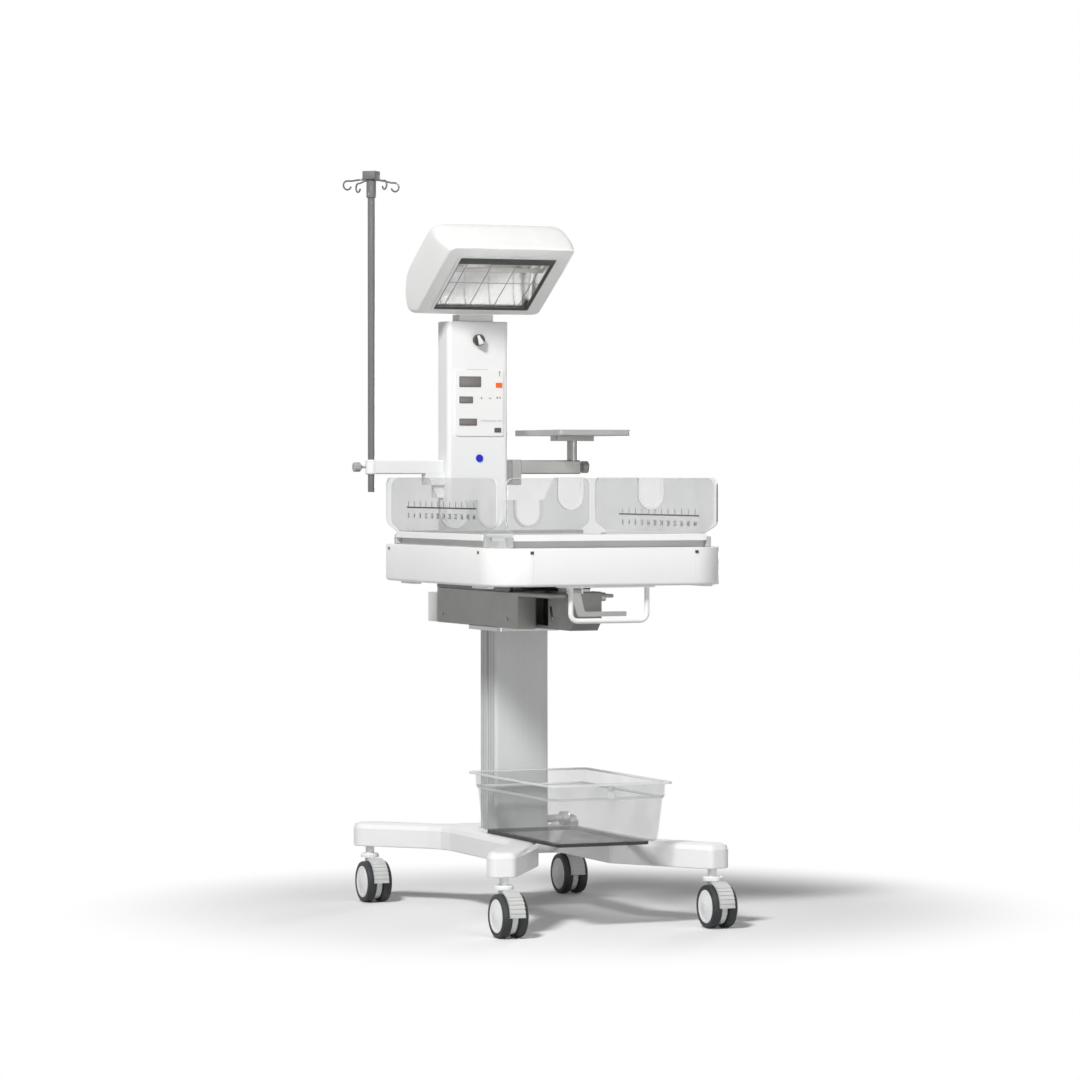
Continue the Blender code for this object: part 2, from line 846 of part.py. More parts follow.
# Base and lifting column
def build_base(finishes, root):
    front = [(stem_half_track + x, stem_front_y + y, radius) for x, y, radius in front_toe_corners]
    rear = [(stem_half_track + x, stem_rear_y + y, radius) for x, y, radius in rear_toe_corners]
    corners = [(0.0, recess_back_y, 0.0), (recess_half_width, recess_back_y, recess_corner),
               (recess_half_width, crotch_y, crotch_radius), *front,
               (waist_half_width, waist_front_y, waist_radius),
               (waist_half_width, waist_back_y, waist_radius), *rear,
               (rear_crotch_half_width, rear_crotch_y, rear_crotch_radius), (0.0, rear_crotch_y, 0.0)]
    outline = mirrored(fillet(corners))
    height = base_top - base_underside
    item = plate("base_chassis", [outline], height, (0.0, 0.0, base_underside + height / 2))
    crown_edges(item, base_shoulder, base_edge)
    pocket = box("column_pocket",
                 (-outer_half_width - column_pocket_margin, recess_back_y - recess_corner,
                  column_pocket_floor),
                 (outer_half_width + column_pocket_margin, outer_back_y + column_pocket_margin,
                  base_top + cut_overrun))
    cut_away(item, pocket)
    for side in (-1, 1):
        for y in (stem_front_y, stem_rear_y):
            bore = rod("bolt_bore", stem_bolt_radius + bolt_clearance,
                       stem_bolt_length + 2 * cut_overrun,
                       (side * stem_half_track, y, base_underside - cut_overrun), steps=12)
            cut_away(item, bore)
    complete(item, finishes["white"], root)

    outer = rectangle(rail_half_span + rail_width / 2, (rail_back_y - rail_front_y) / 2, rail_width,
                      (0.0, (rail_back_y + rail_front_y) / 2))
    inner = rectangle(rail_half_span - rail_width / 2,
                      (rail_back_y - rail_front_y) / 2 - rail_width, rail_width / 3,
                      (0.0, (rail_back_y + rail_front_y) / 2))
    rails = plate("bin_rails", [outer, inner], rail_height,
                  (0.0, 0.0, base_top + seat_gap + rail_height / 2))
    complete(rails, finishes["dark"], root)


def grooved_outline(half_x, half_y, corner, notch_width, notch_depth, centre_y):
    """A rounded rectangle with a square groove down both its sides."""
    half = notch_width / 2
    low = centre_y - half_y
    corners = [(0.0, low, 0.0), (half_x, low, corner),
               (half_x, centre_y - half, 0.0), (half_x - notch_depth, centre_y - half, 0.0),
               (half_x - notch_depth, centre_y + half, 0.0), (half_x, centre_y + half, 0.0),
               (half_x, centre_y + half_y, corner), (0.0, centre_y + half_y, 0.0)]
    return mirrored(fillet(corners))


def build_column(finishes, root):
    half_depth = (outer_back_y - outer_front_y) / 2
    outline = grooved_outline(outer_half_width, half_depth, outer_corner, groove_width,
                              groove_depth, outer_centre_y)
    bore = rectangle(inner_half_width + slide_clearance, inner_half_depth + slide_clearance,
                     outer_corner, (0.0, outer_centre_y))
    low = column_pocket_floor + seat_gap
    outer = plate("column_outer", [outline, bore], outer_top - low,
                  (0.0, 0.0, (outer_top + low) / 2))
    complete(outer, finishes["column"], root)

    profile = [(0.0, peg_length + peg_flange_thickness),
               (peg_flange_radius - tyre_rounding / 2, peg_length + peg_flange_thickness),
               (peg_flange_radius, peg_length + peg_flange_thickness - tyre_rounding / 2),
               (peg_flange_radius, peg_length), (peg_radius, peg_length), (peg_radius, 0.0),
               (0.0, 0.0)]
    peg = turned("side_peg", profile, (outer_half_width + seat_gap, outer_centre_y, peg_height), "X")
    complete(peg, finishes["dark"], root, smooth=True)

    lift = make_empty("lift_axis", (0.0, outer_centre_y, outer_top), root)
    plate_low = outer_top + seat_gap
    centre_y = (head_plate_front_y + head_plate_back_y) / 2
    head = plate("column_inner",
                 [rectangle(arm_half_width, (head_plate_back_y - head_plate_front_y) / 2,
                            head_plate_corner, (0.0, centre_y))],
                 head_plate_thickness, (0.0, 0.0, plate_low + head_plate_thickness / 2))
    shell = rectangle(inner_half_width, inner_half_depth, outer_corner, (0.0, outer_centre_y))
    hollow = rectangle(inner_half_width - inner_wall, inner_half_depth - inner_wall,
                       outer_corner - inner_wall, (0.0, outer_centre_y))
    top = plate_low + head_plate_thickness / 2
    stem = plate("inner_tube", [shell, hollow], top - inner_foot,
                 (0.0, 0.0, (top + inner_foot) / 2))
    add_on(head, stem)
    complete(head, finishes["steel"], lift)
    return lift


def build_support_arm(finishes, lift):
    """The arm on the lifting column: its housing, dark top beam, rear cap and tilt bracket."""
    top = arm_top + prong_thickness
    profile = [(arm_front_y, arm_underside, arm_corner), (arm_back_y, arm_underside, arm_corner),
               (arm_back_y, top, 0.0), (prong_front_y, top, 0.0), (prong_front_y, arm_top, 0.0),
               (arm_front_y, arm_top, 0.0)]
    housing = plate("support_housing", [fillet(profile)], 2 * arm_half_width, (0.0, 0.0, 0.0), "YZ")
    soften(housing, arm_edge)
    slot = box("bracket_slot", (-bracket_half_width - seat_gap, prong_front_y - cut_overrun,
                                arm_underside - cut_overrun),
               (bracket_half_width + seat_gap, bracket_back_y + seat_gap, top + cut_overrun))
    cut_away(housing, slot)
    complete(housing, finishes["housing"], lift)

    rail = [(beam_front_y + beam_chamfer, beam_underside, 0.0), (arm_back_y, beam_underside, 0.0),
            (arm_back_y, beam_top, 0.0), (beam_front_y, beam_top, 0.0),
            (beam_front_y, beam_underside + beam_chamfer, 0.0)]
    beam = plate("support_beam", [fillet(rail)], 2 * arm_half_width, (0.0, 0.0, 0.0), "YZ")
    between = arm_half_width - beam_rail_width
    cut_away(beam, box("beam_gap", (-between, beam_front_y - cut_overrun, beam_underside - cut_overrun),
                       (between, beam_bridge_front_y, beam_top + cut_overrun)))
    complete(beam, finishes["dark"], lift)

    half_height = (cap_top - cap_underside) / 2
    sections = [(seat_gap, arm_half_width, half_height, arm_corner, 0.0),
                (cap_depth - cap_rounding, arm_half_width, half_height, cap_rounding / 3, 0.0),
                (cap_depth - cap_rounding / 3, arm_half_width - cap_rounding / 4,
                 half_height - cap_rounding / 4, cap_rounding / 3, 0.0),
                (cap_depth, arm_half_width - cap_rounding, half_height - cap_rounding / 1.6,
                 cap_rounding / 4, 0.0)]
    cap = loft("housing_rear_cap", sections, (0.0, arm_back_y, cap_underside + half_height),
               Matrix.Rotation(-pi / 2, 4, "X"))
    complete(cap, finishes["white"], lift, smooth=True)

    side = [(bracket_front_y + bracket_chamfer, bracket_underside, 0.0),
            (bracket_back_y, bracket_underside, 0.0), (bracket_back_y, bracket_tail_top, 0.0),
            (arm_front_y, bracket_tail_top, 0.0), (pivot_y + link_eye_radius * 2, bracket_top, 0.0),
            (bracket_front_y, bracket_top, bracket_wall),
            (bracket_front_y, bracket_underside + bracket_chamfer, 0.0)]
    bracket = plate("tilt_bracket", [fillet(side)], 2 * bracket_half_width, (0.0, 0.0, 0.0), "YZ")
    wall_y = bracket_front_y + bracket_wall
    floor_z = bracket_underside + bracket_wall
    turn_in = bracket_chamfer - bracket_wall / 2
    hollow = [(wall_y + turn_in, floor_z), (bracket_back_y + cut_overrun, floor_z),
              (bracket_back_y + cut_overrun, bracket_top + cut_overrun),
              (wall_y, bracket_top + cut_overrun), (wall_y, floor_z + turn_in)]
    channel = plate("bracket_channel", [hollow], 2 * (bracket_half_width - bracket_wall),
                    (0.0, 0.0, 0.0), "YZ")
    pin_bore = rod("pivot_bore", pivot_radius + pivot_clearance,
                   2 * bracket_half_width + 2 * cut_overrun,
                   (-bracket_half_width - cut_overrun, pivot_y, pivot_z), "X", steps=16)
    first = guide_rest_angle - guide_slot_end_angle
    last = guide_rest_angle + tilt_range + guide_slot_end_angle
    margin = guide_pin_radius + guide_slot_margin
    pivot = (pivot_y, pivot_z)
    band = arc(guide_radius - margin, first, last, pivot)
    band += arc(guide_radius + margin, last, first, pivot)
    slots = plate("guide_slots", [band], 2 * bracket_half_width + 2 * cut_overrun,
                  (0.0, 0.0, 0.0), "YZ")
    opening = box("bracket_opening",
                  (-bracket_half_width - cut_overrun, bracket_opening_front_y,
                   floor_z + bracket_wall),
                  (-bracket_half_width + bracket_wall + cut_overrun, bracket_opening_back_y,
                   bracket_top + cut_overrun))
    cut_away(bracket, channel, pin_bore, slots, opening)
    complete(bracket, finishes["grey"], lift)

    head_x = bracket_half_width + seat_gap
    span = 2 * bracket_half_width + bracket_wall
    profile = [(0.0, head_x + pivot_head_length), (pivot_head_radius, head_x + pivot_head_length),
               (pivot_head_radius, head_x), (pivot_radius, head_x),
               (pivot_radius, head_x - span), (0.0, head_x - span)]
    pin = turned("tilt_pin", profile, (0.0, pivot_y, pivot_z), "X", steps=16)
    complete(pin, finishes["steel"], lift, smooth=True)


# Bed
def build_bed(finishes, tilt):
    """The tray, the deck that lies in it, the mattress and the link that tilts them."""
    x, y = tray_half_width, tray_half_length
    wall = tray_wall
    edge = tray_edge
    corner = tray_corner
    sections = [(tray_underside, x - edge, y - edge, corner - edge, 0.0),
                (tray_underside + edge / 4, x - edge / 4, y - edge / 4, corner - edge / 4, 0.0),
                (tray_underside + edge, x, y, corner, 0.0),
                (tray_top - wall / 2, x, y, corner, 0.0),
                (tray_top, x - wall / 2, y - wall / 2, corner - wall / 2, 0.0),
                (tray_top, tray_mouth_half_width, tray_mouth_half_length, tray_mouth_corner, 0.0),
                (tray_top - wall, tray_mouth_half_width, tray_mouth_half_length,
                 tray_mouth_corner, 0.0),
                (tray_top - wall, x - wall, y - wall, corner - wall, 0.0),
                (tray_underside + edge, x - wall, y - wall, corner - wall, 0.0),
                (tray_underside + wall, x - wall - edge, y - wall - edge, corner - edge, 0.0)]
    tray = loft("bed_tray", sections, (0.0, tray_centre_y, 0.0), steps=8)
    complete(tray, finishes["tray"], tilt, smooth=True)

    low = tray_top + seat_gap
    ledge = low + pan_wall
    x, y = ring_half_width, ring_half_length
    sections = [(low - pan_depth, pan_half_width - pan_wall, pan_half_length - pan_wall,
                 pan_corner - pan_wall, 0.0),
                (low - pan_depth + pan_wall, pan_half_width, pan_half_length, pan_corner, 0.0),
                (low, pan_half_width, pan_half_length, pan_corner, 0.0),
                (low, x, y, ring_corner, 0.0), (ring_top, x, y, ring_corner, 0.0),
                (ring_top, x - ring_width, y - ring_width, ring_corner - ring_width, 0.0),
                (ledge, x - ring_width, y - ring_width, ring_corner - ring_width, 0.0),
                (ledge, pan_half_width - pan_wall, pan_half_length - pan_wall,
                 pan_corner - pan_wall, 0.0),
                (pan_floor_z, pan_half_width - pan_wall, pan_half_length - pan_wall,
                 pan_corner - pan_wall, 0.0)]
    deck = loft("bed_deck", sections, (0.0, deck_centre_y, 0.0))
    for tool in deck_ears(low):
        add_on(deck, tool)
    groove = box("back_groove",
                 (-end_panel_half_width, back_panel_y - groove_half, panel_low_z - groove_clearance),
                 (end_panel_half_width, back_panel_y + groove_half, panel_top))
    cut_away(deck, groove)
    for bore in strip_bores():
        cut_away(deck, bore)
    complete(deck, finishes["grey"], tilt)

    build_mattress(finishes, tilt)

    start = Vector((link_foot_front_y, link_foot_back_y))
    guide = Vector((pivot_y + guide_radius * cos(guide_rest_angle),
                    pivot_z + guide_radius * sin(guide_rest_angle)))
    low = link_top - link_foot_height
    web = low - link_foot_height / 3
    outline = [(start.x, link_top), (start.x, low), (pivot_y - link_eye_radius, web)]
    outline += arc(link_eye_radius, pi, pi * 1.6, (pivot_y, pivot_z))
    outline += arc(link_eye_radius, pi * 1.35, pi * 2.1, tuple(guide))
    outline += [(start.y - link_foot_height, web), (start.y, low), (start.y, link_top)]
    link = plate("tilt_link", [outline], 2 * link_half_thickness, (0.0, 0.0, 0.0), "YZ")
    reach = bracket_half_width - seat_gap
    stub = rod("guide_pin", guide_pin_radius, 2 * reach, (-reach, guide.x, guide.y), "X", steps=12)
    add_on(link, stub)
    bore = rod("eye_bore", pivot_radius + pivot_clearance, 2 * reach, (-reach, pivot_y, pivot_z), "X",
               steps=16)
    cut_away(link, bore)
    complete(link, finishes["steel"], tilt)


def deck_ears(low):
    """The lugs that carry the strips' pins, and the block that holds the back panel."""
    tools = []
    inner = ring_half_width - ring_width / 2
    outer = side_panel_x + strip_thickness / 2 - strip_edge
    top = ring_top + ear_height - strip_edge / 3
    for side in (-1, 1):
        for y in (side_strip_front_y - seat_gap - ear_length, side_strip_back_y + seat_gap):
            xs = sorted((side * inner, side * outer))
            tools.append(box("side_ear", (xs[0], y, low), (xs[1], y + ear_length, top),
                             strip_edge))
        x = side * (front_strip_half_length + seat_gap + ear_length / 2)
        tools.append(box("front_ear",
                         (x - ear_length / 2, front_panel_y - strip_thickness / 2 + strip_edge, low),
                         (x + ear_length / 2, front_panel_y + 2 * strip_thickness, top), strip_edge))
    tools.append(box("back_strip",
                     (-front_strip_half_length, back_panel_y - strip_thickness, low),
                     (front_strip_half_length, back_panel_y + strip_thickness / 2,
                      strip_low_z + strip_height), strip_edge))
    return tools


def strip_bores():
    bores = []
    radius = strip_pin_radius + strip_pin_clearance
    length = side_strip_back_y - side_strip_front_y + 2 * (strip_pin_length + seat_gap)
    for side in (-1, 1):
        start = (side * side_panel_x, side_strip_back_y + strip_pin_length + seat_gap, strip_pivot_z)
        bores.append(rod("side_pin_bore", radius, length, start, "-Y", steps=8))
    length = 2 * (front_strip_half_length + strip_pin_length + seat_gap)
    bores.append(rod("front_pin_bore", radius, length, (-length / 2, front_panel_y, strip_pivot_z),
                     "X", steps=8))
    return bores


def build_mattress(finishes, tilt):
    """A soft pad with a crowned top and sides drawn in along the middle."""
    x, y, corner = mattress_half_width, mattress_half_length, mattress_corner
    low = pan_floor_z + seat_gap
    sections = []
    for height, inset in mattress_side_shares:
        pull = mattress_draw * inset
        sections.append((low + mattress_thickness * height, x - pull, y - pull, corner - pull, 0.0))
    for height, inset in mattress_crown_shares:
        pull = x * inset
        sections.append((low + mattress_thickness + mattress_crown * height, x - pull, y - pull,
                         max(corner - pull, corner / 3), 0.0))
    pad = loft("mattress", sections, (0.0, deck_centre_y, 0.0), steps=6)
    complete(pad, finishes["pad"], tilt, smooth=True)


# Clear panels
def notch(centre_x, half_width, depth, top):
    """Points down one side of a U-shaped notch, round its end and up the other side."""
    middle = (centre_x, top - depth + half_width)
    return [(centre_x - half_width, top)] + arc(half_width, pi, 2 * pi, middle) + \
        [(centre_x + half_width, top)]


def panel_foot(half_width, chamfer_run, top):
    """Corners of a panel's outline from its top left corner down round its chamfered foot."""
    shoulder = panel_low_z + panel_chamfer_rise
    run = half_width - chamfer_run
    return [(-half_width, top, panel_corner), (-half_width, shoulder, panel_chamfer_fillet),
            (-run, panel_low_z, panel_chamfer_fillet), (run, panel_low_z, panel_chamfer_fillet),
            (half_width, shoulder, panel_chamfer_fillet), (half_width, top, panel_corner)]


def end_panel(name, y, notches, top, lowered, finishes, parent):
    half = end_panel_half_width
    corners = panel_foot(half, end_chamfer_run, panel_top)
    if lowered:
        outer = back_dip_half_width + back_dip_run
        corners += [(outer, panel_top, back_dip_fillet), (back_dip_half_width, top, back_dip_fillet),
                    (0.0, top, 0.0), (-back_dip_half_width, top, back_dip_fillet),
                    (-outer, panel_top, back_dip_fillet)]
    outline = fillet(corners)
    item = plate(name, [outline], panel_thickness, (0.0, y, 0.0), "XZ")
    for x, half_width, depth in notches:
        points = notch(x, half_width, depth, top)
        points += [(x + half_width, top + cut_overrun), (x - half_width, top + cut_overrun)]
        tool = plate(name + "_notch", [points], panel_thickness + 2 * cut_overrun,
                     (0.0, y, 0.0), "XZ")
        cut_away(item, tool)
    complete(item, finishes["clear"], parent)
    return item


def grommet(name, x, y, half_width, depth, top, finish, parent):
    """The soft U-shaped edging pressed onto a notch, grooved for the panel's edge."""
    outer = notch(x, half_width + grommet_lap, depth + grommet_lap, top)
    inner = notch(x, half_width - grommet_width, depth - grommet_width, top)
    item = plate(name, [outer + list(reversed(inner))],
                 panel_thickness + 2 * grommet_wall, (0.0, y, 0.0), "XZ")
    edge = half_width - groove_clearance
    kept = notch(x, edge, depth - groove_clearance + cut_overrun, top + cut_overrun)
    wide = half_width + 2 * grommet_lap
    cleared = notch(x, wide, depth + 2 * grommet_lap + cut_overrun, top + cut_overrun)
    tool = plate(name + "_groove", [cleared + list(reversed(kept))],
                 panel_thickness + 2 * groove_clearance, (0.0, y, 0.0), "XZ")
    cut_away(item, tool)
    complete(item, finish, parent)


def strip(name, half_length, place, axis, finish, parent):
    """The white strip along a panel's foot, grooved for it, with a pivot pin at each end."""
    thick = strip_thickness / 2
    along, across = (0, 1) if axis == "X" else (1, 0)
    low = [0.0, 0.0, strip_low_z]
    high = [0.0, 0.0, strip_low_z + strip_height]
    low[along], high[along] = place[along] - half_length, place[along] + half_length
    low[across], high[across] = place[across] - thick, place[across] + thick
    item = box(name, low, high, strip_edge)
    low = [0.0, 0.0, panel_low_z - groove_clearance]
    high = [0.0, 0.0, strip_low_z + strip_height + cut_overrun]
    low[along] = place[along] - half_length - cut_overrun
    high[along] = place[along] + half_length + cut_overrun
    low[across], high[across] = place[across] - groove_half, place[across] + groove_half
    cut_away(item, box(name + "_groove", low, high))
    reach = half_length + strip_pin_length
    start = [place[0], place[1], strip_pivot_z]
    start[along] += reach if axis == "-Y" else -reach
    add_on(item, rod(name + "_pin", strip_pin_radius, 2 * reach, start, axis, steps=8))
    complete(item, finish, parent)


def build_panels(finishes, tilt):
    strip_half = (side_strip_back_y - side_strip_front_y) / 2
    strip_y = (side_strip_back_y + side_strip_front_y) / 2
    for side, hand in ((-1, "left"), (1, "right")):
        x = side * side_panel_x
        hinge = make_empty("panel_axis_" + hand, (x, strip_y, strip_pivot_z), tilt)
        outline = fillet(panel_foot(side_panel_half_length, side_chamfer_run, panel_top))
        item = plate("panel_" + hand, [outline], panel_thickness, (x, side_panel_centre_y, 0.0), "YZ")
        complete(item, finishes["clear"], hinge)
        strip("strip_" + hand, strip_half, (x, strip_y), "-Y", finishes["white"], hinge)

    hinge = make_empty("panel_axis_front", (0.0, front_panel_y, strip_pivot_z), tilt)
    places = [side * front_notch_spacing / 2 for side in (-1, 1)]
    notches = [(x, front_notch_half_width, front_notch_depth) for x in places]
    end_panel("panel_front", front_panel_y, notches, panel_top, False, finishes, hinge)
    strip("strip_front", front_strip_half_length, (0.0, front_panel_y), "X", finishes["white"], hinge)
    for x, hand in zip(places, ("left", "right")):
        grommet("grommet_front_" + hand, x, front_panel_y, front_notch_half_width,
                front_notch_depth, panel_top, finishes["white"], hinge)

    places = [side * back_notch_spacing for side in (-1, 0, 1)]
    notches = [(x, back_notch_half_width, back_notch_depth) for x in places]
    end_panel("panel_back", back_panel_y, notches, back_dip_top, True, finishes, tilt)
    for x, hand in zip(places, ("left", "middle", "right")):
        grommet("grommet_back_" + hand, x, back_panel_y, back_notch_half_width,
                back_notch_depth, back_dip_top, finishes["white"], tilt)


# Bed handle and its tilt lever
def build_handle(finishes, tilt):
    top = handle_plate_low_z + handle_plate_thickness / 2
    x, z, bend = handle_half_width, handle_bar_z, handle_bend
    path = [(-x, handle_y, top)]
    for middle_x, first in ((-x + bend, pi), (x - bend, 3 * pi / 2)):
        for step in range(5):
            angle = first + pi / 2 * step / 4
            path.append((middle_x + bend * cos(angle), handle_y, z + bend + bend * sin(angle)))
    path.append((x, handle_y, top))
    centre_y = (handle_plate_front_y + handle_plate_back_y) / 2
    half_depth = (handle_plate_back_y - handle_plate_front_y) / 2
    item = plate("bed_handle",
                 [rectangle(handle_plate_half_width, half_depth, handle_bend / 2, (0.0, centre_y))],
                 handle_plate_thickness, (0.0, 0.0, handle_plate_low_z + handle_plate_thickness / 2))
    add_on(item, as_mesh(tube("handle_tube", path, handle_radius, resolution=3)))
    lug_bottom = lever_pivot_z - lever_barrel_radius
    for side in (-1, 1):
        inner = lever_barrel_x + side * (lever_barrel_half_length + seat_gap)
        xs = sorted((inner, inner + side * lug_thickness))
        lug = box("lever_lug", (xs[0], lever_y - lug_depth / 2, lug_bottom),
                  (xs[1], lever_y + lug_depth / 2, top))
        add_on(item, lug)
    length = 2 * (lever_barrel_half_length + lug_thickness + cut_overrun)
    bore = rod("lever_bore", lever_pin_radius + bolt_clearance, length,
               (lever_barrel_x - length / 2, lever_y, lever_pivot_z), "X", steps=12)
    cut_away(item, bore)
    complete(item, finishes["white"], tilt)

    hinge = make_empty("lever_axis", (lever_barrel_x, lever_y, lever_pivot_z), tilt)
    low = lever_bar_top - lever_bar_height
    arm = lever_barrel_half_length - strip_edge
    corners = [(lever_barrel_x + arm, lever_pivot_z, 0.0), (lever_barrel_x - arm, lever_pivot_z, 0.0),
               (-lever_bar_end_x - arm / 2, low, lever_thickness),
               (lever_bar_end_x, low, lever_thickness / 2),
               (lever_bar_end_x, lever_bar_top, lever_thickness / 2),
               (lever_barrel_x + 2 * arm, lever_bar_top, lever_thickness)]
    lever = plate("tilt_lever", [fillet(corners)], lever_thickness, (0.0, lever_y, 0.0), "XZ")
    length = 2 * lever_barrel_half_length
    add_on(lever, rod("lever_barrel", lever_barrel_radius, length,
                      (lever_barrel_x - length / 2, lever_y, lever_pivot_z), "X", steps=12))
    length += 2 * (lug_thickness - seat_gap)
    add_on(lever, rod("lever_pin", lever_pin_radius, length,
                      (lever_barrel_x - length / 2, lever_y, lever_pivot_z), "X", steps=12))
    complete(lever, finishes["grey"], hinge)


# Upper column and controls
def key_block(name, place, size, finishes, finish, parent):
    """A square press key in the control panel."""
    x, z = place
    half_x, half_z = size[0] / 2, size[1] / 2
    front = upper_front_y - seat_gap - control_thickness - key_proud
    hinge = make_empty(name + "_axis", (x, front, z), parent)
    item = box(name, (x - half_x, front, z - half_z), (x + half_x, front + key_proud + key_depth,
                                                       z + half_z), key_clearance)
    complete(item, finishes[finish], hinge)


def key_pocket(place, size, front, back):
    x, z = place
    half_x = size[0] / 2 + key_clearance
    half_z = size[1] / 2 + key_clearance
    return box("key_pocket", (x - half_x, front, z - half_z), (x + half_x, back, z + half_z))


def build_upper_column(finishes, lift):
    half_depth = (upper_back_y - upper_front_y) / 2
    low = beam_top + seat_gap
    outline = rectangle(upper_half_width, half_depth, upper_corner, (0.0, upper_centre_y))
    column = plate("upper_column", [outline], upper_top - low, (0.0, 0.0, (upper_top + low) / 2))
    crown_edges(column, upper_edge, upper_edge)
    cut_away(column, rod("spigot_bore", spigot_radius + shaft_clearance, spigot_length + cut_overrun,
                         (0.0, upper_centre_y, upper_top - spigot_length - seat_gap)))
    cut_away(column, rod("lock_bore", lock_shaft_radius + shaft_clearance,
                         upper_centre_y - upper_front_y + cut_overrun,
                         (lock_knob_x, upper_centre_y, lock_knob_z),
                         "-Y", steps=12))
    face = upper_front_y - seat_gap - control_thickness
    key_back = face + key_depth + key_travel + seat_gap
    for place, size in ((orange_key_place, orange_key_size), (dark_key_place, dark_key_size)):
        cut_away(column, key_pocket(place, size, upper_front_y - cut_overrun, key_back))
    blue_x, blue_z = blue_key_place
    reach = key_depth + key_travel + seat_gap
    cut_away(column, rod("blue_pocket", blue_key_radius + key_clearance, reach + cut_overrun,
                         (blue_x, upper_front_y + reach, blue_z), "-Y"))
    complete(column, finishes["white"], lift)

    centre_x = (control_left_x + control_right_x) / 2
    centre_z = (control_low_z + control_high_z) / 2
    outline = rectangle((control_right_x - control_left_x) / 2, (control_high_z - control_low_z) / 2,
                        control_corner, (centre_x, centre_z))
    panel = plate("control_panel", [outline], control_thickness,
                  (0.0, face + control_thickness / 2, 0.0), "XZ")
    for z, width, height in window_places:
        raised = box("window", (window_left_x, face - window_depth, z),
                     (window_left_x + width, face + control_thickness / 2, z + height))
        add_on(panel, raised)
    for place, size in ((orange_key_place, orange_key_size), (dark_key_place, dark_key_size)):
        cut_away(panel, key_pocket(place, size, face - cut_overrun, upper_front_y))
    complete(panel, finishes["overlay"], lift)

    key_block("key_orange", orange_key_place, orange_key_size, finishes, "orange", lift)
    key_block("key_dark", dark_key_place, dark_key_size, finishes, "dark", lift)
    hinge = make_empty("key_blue_axis", (blue_x, upper_front_y, blue_z), lift)
    blue = rod("key_blue", blue_key_radius, key_proud + key_depth,
               (blue_x, upper_front_y + key_depth, blue_z), "-Y")
    complete(blue, finishes["blue"], hinge, smooth=True)

    hinge = make_empty("lock_axis", (lock_knob_x, upper_front_y, lock_knob_z), lift)
    radius = lock_knob_radius
    length = lock_knob_length
    profile = [(0.0, length), (radius - knob_edge, length), (radius, length - knob_edge),
               (radius, knob_edge), (radius - knob_edge, seat_gap), (lock_shaft_radius, seat_gap),
               (lock_shaft_radius, -lock_shaft_length), (0.0, -lock_shaft_length)]
    knob = turned("hood_lock_knob", profile, (lock_knob_x, upper_front_y, lock_knob_z), "-Y")
    complete(knob, finishes["chrome"], hinge, smooth=True)


# Heater hood
hood_turn = Matrix.Rotation(-hood_face_angle, 4, "X")
hood_place = Matrix.Translation((0.0, hood_rear_edge_y, hood_underside)) @ hood_turn


def on_hood(height):
    """A spot above the rear edge of the hood's face, that far off the face."""
    return hood_place @ Vector((0.0, 0.0, height))


def hood_rod(name, radius, length, x, along, height, axis):
    """A round bar in the hood's tilted frame; -Y runs up along the face."""
    item = rod(name, radius, length, (0.0, 0.0, 0.0), axis, steps=8)
    item.matrix_world = hood_place @ Matrix.Translation((x, -along, height)) @ axis_turns[axis]
    return item


def hood_section(height, back, front, half_width, corner):
    return (height, half_width, (front - back) / 2, corner, -(front + back) / 2)


def build_hood(finishes, lift):
    swivel = make_empty("hood_axis", (0.0, upper_centre_y, upper_top), lift)
    neck_low = upper_top + seat_gap
    neck = plate("hood_neck", [rectangle(neck_half_width, neck_half_depth, upper_corner / 2,
                                         (0.0, upper_centre_y))],
                 neck_top - neck_low, (0.0, 0.0, (neck_top + neck_low) / 2))
    soften(neck, neck_edge)
    middle = (neck_top + neck_low) / 2
    spigot = rod("hood_spigot", spigot_radius, middle - upper_top + spigot_length,
                 (0.0, upper_centre_y, upper_top - spigot_length))
    add_on(neck, spigot)
    complete(neck, finishes["white"], swivel)

    sections = [hood_section(cavity_depth, cavity_low_along + cavity_taper,
                             cavity_high_along - cavity_front_taper,
                             cavity_half_width - cavity_taper, hood_corner / 2),
                hood_section(hood_lip, cavity_low_along, cavity_high_along, cavity_half_width,
                             hood_corner / 2),
                hood_section(hood_lip, window_low_along, window_high_along, window_half_width,
                             gasket_corner),
                hood_section(0.0, window_low_along, window_high_along, window_half_width,
                             gasket_corner)]
    rows = list(hood_section_shares)
    rest = hood_rest_depth
    for index, (height, back, front, width, corner) in enumerate(rows):
        level = hood_depth * height
        rear = hood_face_length * back
        if index == 1:
            level = rest * sin(hood_face_angle)
            rear = -rest * cos(hood_face_angle)
        sections.append(hood_section(level, rear, hood_face_length * front,
                                     hood_half_width * width, hood_corner * corner))
    shell = loft("hood_shell", sections, (0.0, hood_rear_edge_y, hood_underside), hood_turn)
    complete(shell, finishes["white"], swivel, smooth=True)

    middle = (0.0, -(window_low_along + window_high_along) / 2)
    half_length = (window_high_along - window_low_along) / 2
    outer = rectangle(window_half_width + gasket_width, half_length + gasket_width,
                      gasket_corner + gasket_width, middle)
    inner = rectangle(window_half_width, half_length, gasket_corner, middle)
    gasket = plate("hood_gasket", [outer, inner], gasket_thickness,
                   on_hood(-seat_gap - gasket_thickness / 2), turn=hood_turn)
    complete(gasket, finishes["rubber"], swivel)

    build_heater(finishes, swivel)


